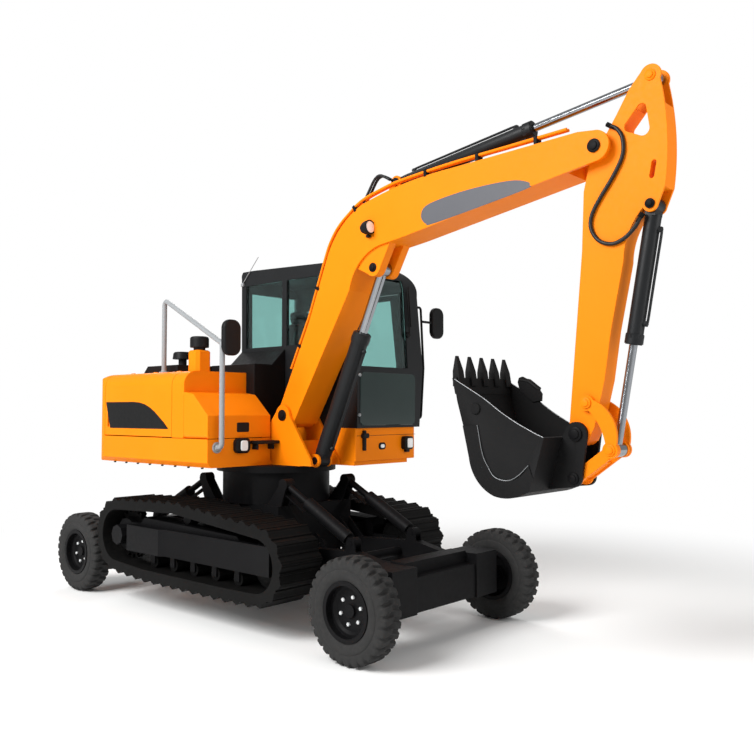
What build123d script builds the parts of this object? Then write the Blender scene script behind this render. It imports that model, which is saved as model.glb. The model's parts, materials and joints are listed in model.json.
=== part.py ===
"""A compact excavator on crawler tracks, with four road wheels that swing down to carry it.

Millimetres. The model is laid out from the slew axis: x ahead, y to the left, z up from the
floor that the tyres stand on. Each piece is moved to the row's own origin as it is written.
"""

import math
import os

from build123d import *

os.makedirs("parts", exist_ok=True)

# The row's origin, seen from the slew axis: the middle of the whole machine's footprint.
ORIGIN_AHEAD = 865
ORIGIN_LEFT = 205

# General clearances: a seat, a pin in its bore, and room beside what moves.
SEAT = 0.3
PIN_FIT = 0.05
MOVE_GAP = 6

# Road wheels.
FRONT_AXLE_X = 1940
REAR_AXLE_X = -1960
AXLE_Z = 400
WHEEL_Y = 947
TYRE_R = 400
TYRE_WIDTH = 215
TREAD_WIDTH = 170
TREAD_DEPTH = 20
TREAD_BLOCKS = 26
TREAD_GROOVE = 26
TREAD_SKEW = 14
SIDEWALL_R = 300
RIM_R = 203
RIM_FLANGE_R = 226
RIM_FLANGE_T = 10
BEAD_WIDTH = 180
RIM_WALL = 12
DISC_T = 14
DISC_Y = 28
DISH_R = 150
DISH_DEPTH = 16
HUB_R = 78
HUB_INNER = 12
HUB_NOSE_R = 48
HUB_NOSE = 22

# Crawler tracks.
TRACK_Y = 825
SHOE_WIDTH = 450
SHOE_COUNT = 41
GROUSER = 24
BELT_T = 84
SPROCKET_X = -1175
SPROCKET_Z = 655
SPROCKET_BELT_R = 331
SPROCKET_TEETH = 19
SPROCKET_T = 60
SPROCKET_TOOTH_H = 34
IDLER_X = 925
IDLER_Z = 610
IDLER_BELT_R = 306
BELT_LOW_Z = 294
BELT_HIGH_Z = 1022
CARRIER_X = -230
CARRIER_R = 56
CARRIER_W = 120
ROLLER_R = 62
ROLLER_W = 190
ROLLER_COUNT = 5
ROLLER_FIRST_X = -700
ROLLER_LAST_X = 560
HANGER_T = 16
HANGER_W = 64
DRUM_R = 150
DRUM_HALF = 110
DRUM_ARM_T = 50
DRUM_ARM_H = 240
HUB_CAP_R = 98
HUB_CAP_Y = 1040
FRAME_W = 230
FRAME_TOP_Z = 790
FRAME_LOW_Z = 525
FRAME_REAR_X = -905
FRAME_FRONT_X = 640
GUARD_THICK = 98
GUARD_THIN = 62
GUARD_GAP = 10
GUARD_H = 245
GUARD_REAR_X = -1000
GUARD_STEP_X = -470
GUARD_FRONT_X = 1050

# Centre frame and slew ring.
BOX_HALF_X = 560
BOX_HALF_Y = 470
BOX_LOW_Z = 560
BOX_TOP_Z = 1010
DRUM_TOP_R = 520
RING_R = 580
RING_LOW_Z = 1300
LEG_X = 430
LEG_W = 220
LEG_LOW_Z = 550
LEG_TOP_Z = 760

TOW_EYE_X = 630
TOW_EYE_Z = 625
TOW_EYE_R = 60
TOW_BORE_R = 28
TOW_EYE_T = 30

# Lift arms that carry the axles, and their cylinders.
LIFT_PIVOT_X = 750
LIFT_PIVOT_Z = 600
LIFT_PIN_R = 35
LIFT_BOSS_R = 72
LIFT_LUG_R = 62
LIFT_LUG_T = 16
ARM_Y = 395
ARM_T = 90
ARM_TIP_LOW_Z = 430
ARM_TIP_TOP_Z = 640
ARM_CREST_Z = 705
ARM_CREST_X = 1360
BEAM_T = 300
BEAM_HALF_Y = 700
BEAM_LOW_Z = 300
BEAM_TOP_Z = 575
RAIL_TOP_Z = 675
RAIL_T = 160
END_BLOCK_Y = 400
END_BLOCK_LOW_Z = 292
END_BLOCK_TOP_Z = 660
END_BLOCK_PROUD = 15
CROSS_TUBE_R = 42
LIFT_FOOT_X = 1420
LIFT_FOOT_Z = 770
LIFT_EYE_X = 590
LIFT_EYE_Z = 1205
LIFT_BARREL_R = 58
LIFT_ROD_R = 30
LIFT_HEAD = 620
LIFT_ROD_IN = 290
LIFT_CYL_PIN_R = 22
LIFT_EAR_R = 48
LIFT_EAR_T = 13
TOWER_EAR_R = 55
TOWER_EAR_T = 16
LIFT_BOSS_HALF = 31
LIFT_EYE_HALF = 33
COVER_T = 10
COVER_W = 130
COVER_LEN = 330
COVER_RISE = 75

# Steering.
KING_Y = 790
KING_R = 24
KING_BOSS_R = 52
KING_BOSS_HALF = 95
NECK_HALF_X = 50
NECK_HALF_Z = 80
YOKE_HALF_X = 45
YOKE_T = 38
YOKE_BACK_Y = 850
YOKE_BACK_T = 30
YOKE_IN = 45
SPINDLE_R = 45
STEER_ARM = 210
STEER_ARM_W = 50
STEER_ARM_T = 23
STEER_ARM_LOW_Z = 262
TIE_R = 18
TIE_EYE_R = 25
TIE_EYE_H = 36
REAR_HOUSING_R = 80
REAR_HOUSING_Y = 880
REAR_STUB_R = 55

# House.
FLOOR_Z = 1365
DECK_T = 38
HOUSE_HALF_Y = 1000
HOUSE_REAR_X = -1700
WEIGHT_FRONT_X = -1500
SKIRT_T = 32
SKIRT_TOP_Z = 1620
SEAM_X = -325
SEAM_Z = 1625
COVER_FRONT_X = -720
STEP_X = -140
SHOULDER_Z = 2242
SHOULDER_R = 135
REAR_R = 200
REAR_TOP_R = 200
HEM = 45
WALL = 32
DOOR_GAP = 5
DOOR_TOP_W = 200
DOOR_HINGE_Y = HOUSE_HALF_Y - DOOR_TOP_W
KNUCKLE_R = 12
KNUCKLE_LEN = 60
KNUCKLE_GAP = 3
TANK_FRONT_X = 220
TANK_TOP_Z = 2045
TANK_BREAK_X = 0
TANK_BREAK_Z = 2025
TANK_NOSE_Z = 1829
INNER_Y = -275
HOOD_REAR_X = -1380
HOOD_FRONT_X = -760
HOOD_MARGIN = 160
HOOD_HALF_Y = DOOR_HINGE_Y - HOOD_MARGIN
HOOD_TOP_Z = 2330
FILLER_X = -1020
FILLER_Y = -400
FILLER_R = 92
FILLER_STEM_R = 42
FILLER_RISE = 150
FILLER_CAP_H = 75
ENGINE_REAR_X = -1300
ENGINE_FRONT_X = -850
ENGINE_HALF_Y = 450
ENGINE_TOP_Z = 1950
VALVE_REAR_X = -700
VALVE_FRONT_X = -20
VALVE_LEFT_Y = 118
VALVE_TOP_Z = 2490
VALVE_LOW_Z = 2330
VALVE_SLOPE_Y = -50
TONGUE_X = 610
STACK_X = -232
STACK_Y = 235 - HOUSE_HALF_Y
STACK_W = 168
STACK_EDGE = 30
STACK_H = 198
STACK_NECK_R = 55
STACK_NECK_H = 26
STACK_CAP_R = 88
STACK_CAP_H = 104
RAIL_R = 24
RAIL_FOOT_X = -840
RAIL_FOOT_Y = 255 - HOUSE_HALF_Y
RAIL_FRONT_Y = 100 - HOUSE_HALF_Y
GRILLE_LEFT_X = -1430
GRILLE_STEP = 58
GRILLE_SLOTS = 17
GRILLE_SLOT_W = 30
GRILLE_LOW_Z = 1712
GRILLE_TOP_Z = 1942

# Cab.
CAB_RIGHT_Y = 125
CAB_LEFT_Y = 1040
CAB_WAIST_Y = 1085
CAB_WAIST_Z = 2300
CAB_SHOULDER_Y = 985
CAB_SHOULDER_Z = 3010
ROOF_RIGHT_Z = 3340
ROOF_LEFT_Y = 800
ROOF_LEFT_Z = 3270
CAB_REAR_X = -700
CAB_FRONT_X = 970
CAB_LOW_Z = 1712
CAB_WALL = 40
GLASS_T = 6
GLASS_IN = 17
CAB_BASE_FRONT_X = 950
CAB_BASE_LEFT_Y = 1035
CAB_BASE_R = 90
DOOR_REAR_X = -160
DOOR_FRONT_X = 760
DOOR_LOW_Z = 1735
DOOR_TOP_Z = 3060
CAB_DOOR_GAP = 8
DOOR_PIN_X = -168
DOOR_PIN_Y = 1105
DOOR_PIN_R = 14
GRAB_X = 930
GRAB_Y = 1130
GRAB_R = 12
GRAB_TOP_Z = 2920
GRAB_LOW_Z = 1800
MIRROR_Z = 2780
MIRROR_Y = 1375
MIRROR_W = 190
MIRROR_H = 320
MIRROR_R = 80
MIRROR_T = 60
BEACON_X = -560
BEACON_Y = 600
BEACON_R = 60
SEAT_X = 60
SEAT_Y = 560

# The boom, the stick and the bucket work in one plane, a little right of the slew axis.
TOOL_Y = -70
BOOM_HALF = 155
FOOT_X = 370
FOOT_Z = 1830
FOOT_PIN_R = 40
FOOT_BOSS_R = 118
BRACKET_IN = 162
BRACKET_T = 26
BRACKET_R = 95
TIP_X = 3545
TIP_Z = 3713
TIP_PIN_R = 36
TIP_BOSS_R = 110
FORK_X = 3330
FORK_HALF = 127
BOOM_CYL_X = 700
BOOM_CYL_Z = 1415
BOOM_EYE_X = 1462
BOOM_EYE_Z = 3105
BOOM_BARREL_R = 76
BOOM_ROD_R = 43
BOOM_HEAD = 1260
BOOM_ROD_IN = 900
BOOM_CYL_PIN_R = 35
BOOM_EAR_IN = 62
BOOM_EAR_T = 24
BOOM_LUG_IN = 50
BOOM_LUG_T = 84
ARM_CYL_X = 1664
ARM_CYL_Z = 3824
ARM_EYE_X = 3923
ARM_EYE_RISE = 421
ARM_BARREL_R = 56
ARM_ROD_R = 30
ARM_HEAD = 1327
ARM_ROD_IN = 620
ARM_CYL_PIN_R = 26
ARM_EAR_IN = 45
ARM_EAR_T = 22
STICK_HALF = 80
STICK_PLATE = 18
STICK_EYE_R = 55
HEAD_EYE_R = 75
STICK_FOOT_HALF = 122
HEAD_POCKET_R = 230
BUCKET_CYL_X = 3910
BUCKET_CYL_Z = 3262
BUCKET_FOOT_HALF = 58
BUCKET_BARREL_R = 56
BUCKET_ROD_R = 28
BUCKET_HEAD = 950
BUCKET_ROD_IN = 390
BUCKET_CYL_PIN_R = 28
ROCKER_X = 3440
ROCKER_Z = 1930
JOIN_X = 3615
JOIN_Z = 1605
LINK_X = 3340
LINK_Z = 1400
BUCKET_X = 3360
BUCKET_Z = 1712
BUCKET_PIN_R = 36
SMALL_PIN_R = 28
STICK_BOSS_R = 85
STICK_BOSS_HALF = 86
EAR_IN = 90
EAR_T = 24
ROCKER_IN = 90
ROCKER_T = 24
ROCKER_END_R = 56
ROCKER_BULGE = 120
LINK_HALF = 84
LINK_BAR = 26
LINK_END_R = 54
BUCKET_HALF = 370
BUCKET_PLATE = 18
WEAR_PLATE = 8
TOOTH_COUNT = 5
TOOTH_SPREAD = 320
TOOTH_LEN = 228
TOOTH_W = 74
TOOTH_H = 66
TOOTH_TIP_W = 30
TOOTH_TIP_H = 10

left_right = (("left", 1), ("right", -1))

# A cylinder's turn about x, y and z, to lie along x or along y.
ALONG_X = (0, 90, 0)
ALONG_Y = (90, 0, 0)


def write(piece, label):
    """Label a finished piece, move it to the row's origin and write it."""
    placed = piece.part.moved(Location((-ORIGIN_AHEAD, -ORIGIN_LEFT, 0)))
    placed.label = label
    export_step(placed, f"parts/{label}.step")


def side(y):
    """The upright plane at y, seen from the right: its x is ahead and its y is up."""
    return Plane.XZ.offset(-y)


def twin(y, apart):
    """Two upright planes, the same distance to the right and to the left of y."""
    return side(y - apart), side(y + apart)


def slanted(start, end, y):
    """A plane square to the line from start to end, with its origin at start."""
    return Plane(
        origin=(start[0], y, start[1]),
        x_dir=(0, 1, 0),
        z_dir=(end[0] - start[0], 0, end[1] - start[1]),
    )


def write_cylinder(name, foot, eye, y, bore, lengths, pins):
    """Write a hydraulic cylinder's barrel, with its foot pin, and its rod, with its eye."""
    barrel_r, rod_r = bore
    head, rod_in = lengths
    foot_r, foot_half, pin_r, pin_half, eye_half = pins
    run = math.dist(foot, eye)
    square = slanted(foot, eye, y)
    tube_start = foot_r + 14
    with BuildPart() as barrel:
        with BuildSketch(square.offset(tube_start)):
            Circle(barrel_r)
        extrude(amount=head - tube_start)
        # The gland's collar at the head.
        with BuildSketch(square.offset(head - 1.2 * barrel_r)):
            Circle(barrel_r + 7)
        extrude(amount=1.1 * barrel_r)
        # The neck, the foot boss and its pin.
        with BuildSketch(square):
            Rectangle(2 * foot_half, 1.5 * foot_r)
        extrude(amount=tube_start + 10)
        with BuildSketch(side(y)):
            with Locations(foot):
                Circle(foot_r)
        extrude(amount=foot_half, both=True)
        with BuildSketch(side(y)):
            with Locations(foot):
                Circle(pin_r)
        extrude(amount=pin_half, both=True)
        with BuildSketch(square.offset(tube_start + 40)):
            Circle(rod_r + PIN_FIT)
        extrude(amount=head, mode=Mode.SUBTRACT)
    write(barrel, f"{name}_barrel")
    with BuildPart() as rod:
        with BuildSketch(square.offset(head - rod_in)):
            Circle(rod_r)
        extrude(amount=run - head + rod_in)
        with BuildSketch(side(y)):
            with Locations(eye):
                Circle(foot_r)
        extrude(amount=eye_half, both=True)
    return rod


# Tyres: a ring with a flat crown, its blocks parted by skewed grooves.
tyre_section = (
    # distance across from the middle, radius
    (BEAD_WIDTH / 2, RIM_R + SEAT),
    (BEAD_WIDTH / 2, RIM_FLANGE_R + 3),
    (TYRE_WIDTH / 2, SIDEWALL_R),
    (TREAD_WIDTH / 2 + 6, TYRE_R - 28),
    (TREAD_WIDTH / 2 - 12, TYRE_R),
)
with BuildPart() as tyre:
    with BuildSketch(Plane.XY):
        with BuildLine():
            Polyline(
                *tyre_section,
                *[(-across, radius) for across, radius in reversed(tyre_section)],
                close=True,
            )
        make_face()
    revolve(axis=Axis.X)
    groove_r = TYRE_R - TREAD_DEPTH / 2 + 1
    with Locations(Plane.YZ):
        with PolarLocations(groove_r, TREAD_BLOCKS):
            Box(
                TREAD_DEPTH + 2,
                TREAD_GROOVE,
                TREAD_WIDTH + 40,
                rotation=(TREAD_SKEW, 0, 0),
                mode=Mode.SUBTRACT,
            )

# Rims: a well with two flanges, a dished disc and a hub with a short nose.
disc_out = DISC_Y + DISC_T
bead_half = BEAD_WIDTH / 2
well_r = RIM_R - RIM_WALL
rim_section = (
    # distance across from the middle, radius
    (bead_half + SEAT, RIM_FLANGE_R),
    (bead_half + SEAT + RIM_FLANGE_T, RIM_FLANGE_R),
    (bead_half + SEAT + RIM_FLANGE_T, well_r),
    (disc_out, well_r),
    (disc_out, DISH_R + 20),
    (disc_out - DISH_DEPTH, DISH_R),
    (disc_out - DISH_DEPTH, HUB_NOSE_R),
    (disc_out - DISH_DEPTH + HUB_NOSE, HUB_NOSE_R),
    (disc_out - DISH_DEPTH + HUB_NOSE, 0),
    (-HUB_INNER, 0),
    (-HUB_INNER, HUB_R),
    (DISC_Y - DISH_DEPTH, HUB_R),
    (DISC_Y - DISH_DEPTH, DISH_R),
    (DISC_Y, DISH_R + 20),
    (DISC_Y, well_r),
    (-bead_half - SEAT - RIM_FLANGE_T, well_r),
    (-bead_half - SEAT - RIM_FLANGE_T, RIM_FLANGE_R),
    (-bead_half - SEAT, RIM_FLANGE_R),
    (-bead_half - SEAT, RIM_R),
    (bead_half + SEAT, RIM_R),
)
with BuildPart() as rim:
    with BuildSketch(Plane.XY):
        with BuildLine():
            Polyline(*rim_section, close=True)
        make_face()
    revolve(axis=Axis.X)

axle_ends = (("front", FRONT_AXLE_X), ("rear", REAR_AXLE_X))
for end, axle_x in axle_ends:
    for hand, outward in left_right:
        turn = Location((axle_x, outward * WHEEL_Y, AXLE_Z), (0, 0, 90 * outward))
        for source, kind in ((tyre, "tyre"), (rim, "rim")):
            with BuildPart() as wheel_piece:
                add(source.part.moved(turn))
            write(wheel_piece, f"{kind}_{end}_{hand}")

# Tracks: the belt runs round sprocket, idler, carrier roller and the lower rollers.
lower_belt_r = BELT_T + ROLLER_R
belt_pulleys = (
    # x, z, radius of the belt's outer face
    (SPROCKET_X, SPROCKET_Z, SPROCKET_BELT_R),
    (IDLER_X, IDLER_Z, IDLER_BELT_R),
    (CARRIER_X, BELT_HIGH_Z - BELT_T - CARRIER_R, BELT_T + CARRIER_R),
    (ROLLER_FIRST_X, BELT_LOW_Z + lower_belt_r, lower_belt_r),
    (ROLLER_LAST_X, BELT_LOW_Z + lower_belt_r, lower_belt_r),
)


def belt_face(inset):
    """The hull of the pulleys, drawn in by inset all round, on the XY plane."""
    with BuildSketch() as hull:
        for x, z, radius in belt_pulleys:
            with Locations((x, z)):
                Circle(radius - inset)
        make_hull()
    return hull.face()


shoe_profile = (
    # share of a shoe's pitch, height above the plate
    (0.08, 0),
    (0.30, GROUSER),
    (0.62, GROUSER),
    (0.84, 0),
)
belt_line = belt_face(0).outer_wire()
belt_middle = Vector((SPROCKET_X + IDLER_X) / 2, (SPROCKET_Z + IDLER_Z) / 2)


def shoe_corners():
    """Walk round the belt and raise one grouser bar on each shoe."""
    corners = []
    for shoe in range(SHOE_COUNT):
        for share, height in shoe_profile:
            place = (shoe + share) / SHOE_COUNT
            at = belt_line.position_at(place)
            along = belt_line.tangent_at(place)
            out = Vector(along.Y, -along.X)
            if out.dot(at - belt_middle) < 0:
                out = -out
            point = at + out * height
            corners.append((point.X, point.Y))
    return corners


track_corners = shoe_corners()
for hand, outward in left_right:
    with BuildPart() as track:
        with BuildSketch(side(outward * TRACK_Y)):
            with BuildLine():
                Polyline(*track_corners, close=True)
            make_face()
            add(belt_face(BELT_T), mode=Mode.SUBTRACT)
        extrude(amount=SHOE_WIDTH / 2, both=True)
    write(track, f"track_{hand}")

# Track frames: a box beam with its guard, final drive, rollers' hangers and carrier roller.
roller_step = (ROLLER_LAST_X - ROLLER_FIRST_X) / (ROLLER_COUNT - 1)
roller_places = [ROLLER_FIRST_X + index * roller_step for index in range(ROLLER_COUNT)]
roller_z = BELT_LOW_Z + BELT_T + ROLLER_R
carrier_z = BELT_HIGH_Z - BELT_T - CARRIER_R
hanger_off = ROLLER_W / 2 + SEAT + HANGER_T / 2
for hand, outward in left_right:
    with BuildPart() as track_frame:
        with BuildSketch(side(outward * TRACK_Y)):
            with BuildLine():
                Polyline(
                    (FRAME_REAR_X, FRAME_LOW_Z + 40),
                    (FRAME_REAR_X, FRAME_TOP_Z - 10),
                    (FRAME_REAR_X + 60, FRAME_TOP_Z + 50),
                    (FRAME_FRONT_X - 80, FRAME_TOP_Z + 10),
                    (FRAME_FRONT_X, FRAME_TOP_Z - 60),
                    (FRAME_FRONT_X, FRAME_LOW_Z),
                    (FRAME_REAR_X + 60, FRAME_LOW_Z),
                    close=True,
                )
            make_face()
        extrude(amount=FRAME_W / 2, both=True)
        # The guard's thick rear box and its thin front plate, joined by a slanted end.
        guard_y = TRACK_Y + FRAME_W / 2
        with BuildSketch(Plane.XY.offset(FRAME_LOW_Z)):
            with BuildLine():
                Polyline(
                    (GUARD_REAR_X, outward * (guard_y - 1)),
                    (GUARD_REAR_X, outward * (guard_y + GUARD_THICK)),
                    (GUARD_STEP_X, outward * (guard_y + GUARD_THICK)),
                    (GUARD_STEP_X + 60, outward * (guard_y + GUARD_THIN)),
                    (GUARD_FRONT_X, outward * (guard_y + GUARD_THIN)),
                    (GUARD_FRONT_X, outward * (guard_y + GUARD_GAP)),
                    (FRAME_FRONT_X, outward * (guard_y - 1)),
                    close=True,
                )
            make_face()
        extrude(amount=GUARD_H)
        # Hangers either side of each lower roller.
        for roller_x in roller_places:
            for edge in (-1, 1):
                hanger_y = outward * TRACK_Y + edge * hanger_off
                with Locations((roller_x, hanger_y, (roller_z + FRAME_LOW_Z) / 2)):
                    Box(HANGER_W, HANGER_T, FRAME_LOW_Z - roller_z + 40)
        # The carrier roller on its post.
        with Locations((CARRIER_X, outward * TRACK_Y, (FRAME_TOP_Z + carrier_z) / 2)):
            Box(70, 60, carrier_z - FRAME_TOP_Z + 20)
        with BuildSketch(side(outward * TRACK_Y)):
            with Locations((CARRIER_X, carrier_z)):
                Circle(CARRIER_R - SEAT)
        extrude(amount=CARRIER_W / 2, both=True)
        # The final drive: its drum, the arms that hold it and the cap outside.
        with BuildSketch(side(outward * TRACK_Y)):
            with Locations((SPROCKET_X, SPROCKET_Z)):
                Circle(DRUM_R)
        extrude(amount=DRUM_HALF, both=True)
        arm_len = FRAME_REAR_X - SPROCKET_X + 30
        for edge in (-1, 1):
            arm_y = outward * TRACK_Y + edge * (DRUM_HALF - DRUM_ARM_T / 2)
            with Locations((SPROCKET_X + arm_len / 2, arm_y, SPROCKET_Z)):
                Box(arm_len, DRUM_ARM_T, DRUM_ARM_H)
        with BuildSketch(side(outward * TRACK_Y)):
            with Locations((SPROCKET_X, SPROCKET_Z)):
                RegularPolygon(HUB_CAP_R, 8)
        extrude(amount=-outward * (HUB_CAP_Y - TRACK_Y))
        # The fork that reaches ahead to the idler's shaft.
        for edge in (-1, 1):
            fork_y = outward * TRACK_Y + edge * hanger_off
            with Locations(((FRAME_FRONT_X + IDLER_X) / 2, fork_y, IDLER_Z)):
                Box(IDLER_X - FRAME_FRONT_X + 80, HANGER_T, 90)
    write(track_frame, f"track_frame_{hand}")

    with BuildPart() as running_gear:
        # The toothed sprocket, bored for its drum.
        tooth_r = SPROCKET_BELT_R - BELT_T - SEAT - 1
        with BuildSketch(side(outward * TRACK_Y)):
            with Locations((SPROCKET_X, SPROCKET_Z)):
                Circle(tooth_r - SPROCKET_TOOTH_H)
                with PolarLocations(tooth_r - SPROCKET_TOOTH_H / 2 - 3, SPROCKET_TEETH):
                    Rectangle(SPROCKET_TOOTH_H + 6, SPROCKET_TOOTH_H)
                Circle(DRUM_R + SEAT, mode=Mode.SUBTRACT)
        extrude(amount=SPROCKET_T / 2, both=True)
        # The idler, with its raised middle rim, and the lower rollers.
        idler_r = IDLER_BELT_R - BELT_T - SEAT
        for radius, width in ((idler_r, ROLLER_W / 2), (idler_r - 70, ROLLER_W)):
            with BuildSketch(side(outward * TRACK_Y)):
                with Locations((IDLER_X, IDLER_Z)):
                    Circle(radius)
            extrude(amount=width / 2, both=True)
        with BuildSketch(side(outward * TRACK_Y)):
            with Locations(*[(roller_x, roller_z) for roller_x in roller_places]):
                Circle(ROLLER_R - SEAT)
        extrude(amount=ROLLER_W / 2, both=True)
    write(running_gear, f"rollers_{hand}")

# Centre frame: a box with legs to the track frames, a drum, and the slew ring's lower half.
lift_lug_off = ARM_T / 2 + MOVE_GAP + LIFT_LUG_T / 2
tower_off = LIFT_EYE_HALF + 3 + TOWER_EAR_T / 2
with BuildPart() as centre_frame:
    with Locations((0, 0, (BOX_LOW_Z + BOX_TOP_Z) / 2)):
        Box(2 * BOX_HALF_X, 2 * BOX_HALF_Y, BOX_TOP_Z - BOX_LOW_Z)
    with BuildSketch(Plane.XY.offset(BOX_TOP_Z - 5)):
        Circle(DRUM_TOP_R)
    extrude(amount=RING_LOW_Z - BOX_TOP_Z + 10)
    with BuildSketch(Plane.XY.offset(RING_LOW_Z)):
        Circle(RING_R)
    extrude(amount=FLOOR_Z - SEAT - RING_LOW_Z)
    leg_reach = TRACK_Y - FRAME_W / 2 - SEAT
    for ahead in (-1, 1):
        with Locations((ahead * LEG_X, 0, (LEG_LOW_Z + LEG_TOP_Z) / 2)):
            Box(LEG_W, 2 * leg_reach, LEG_TOP_Z - LEG_LOW_Z)
        # The tow eye between the lift arms.
        with BuildSketch(side(0)):
            with BuildLine():
                Polyline(
                    (ahead * (BOX_HALF_X - 10), TOW_EYE_Z - TOW_EYE_R),
                    (ahead * TOW_EYE_X, TOW_EYE_Z - TOW_EYE_R),
                    (ahead * TOW_EYE_X, TOW_EYE_Z + TOW_EYE_R),
                    (ahead * (BOX_HALF_X - 10), TOW_EYE_Z + 2 * TOW_EYE_R),
                    close=True,
                )
            make_face()
            with Locations((ahead * TOW_EYE_X, TOW_EYE_Z)):
                Circle(TOW_EYE_R)
                Circle(TOW_BORE_R, mode=Mode.SUBTRACT)
        extrude(amount=TOW_EYE_T / 2, both=True)
        for hand, outward in left_right:
            with BuildSketch(*twin(outward * ARM_Y, lift_lug_off)):
                with BuildLine():
                    Polyline(
                        (ahead * (BOX_HALF_X - 20), BOX_LOW_Z),
                        (ahead * LIFT_PIVOT_X, LIFT_PIVOT_Z - LIFT_LUG_R),
                        (ahead * LIFT_PIVOT_X, LIFT_PIVOT_Z + LIFT_LUG_R),
                        (ahead * (BOX_HALF_X - 20), BOX_TOP_Z - 150),
                        close=True,
                    )
                make_face()
                with Locations((ahead * LIFT_PIVOT_X, LIFT_PIVOT_Z)):
                    Circle(LIFT_LUG_R)
            extrude(amount=LIFT_LUG_T / 2, both=True)
            with BuildSketch(side(outward * ARM_Y)):
                with Locations((ahead * LIFT_PIVOT_X, LIFT_PIVOT_Z)):
                    Circle(LIFT_PIN_R)
            extrude(amount=lift_lug_off + LIFT_LUG_T / 2 + 8, both=True)
            # The tower's two ears, for the lift cylinder's rod.
            with BuildSketch(*twin(outward * ARM_Y, tower_off)):
                with BuildLine():
                    Polyline(
                        (ahead * (BOX_HALF_X - 190), BOX_TOP_Z - 10),
                        (ahead * BOX_HALF_X, BOX_TOP_Z - 10),
                        (ahead * (LIFT_EYE_X + TOWER_EAR_R), LIFT_EYE_Z),
                        (ahead * LIFT_EYE_X, LIFT_EYE_Z + TOWER_EAR_R),
                        close=True,
                    )
                make_face()
                with Locations((ahead * LIFT_EYE_X, LIFT_EYE_Z)):
                    Circle(TOWER_EAR_R)
            extrude(amount=TOWER_EAR_T / 2, both=True)
write(centre_frame, "centre_frame")

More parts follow.
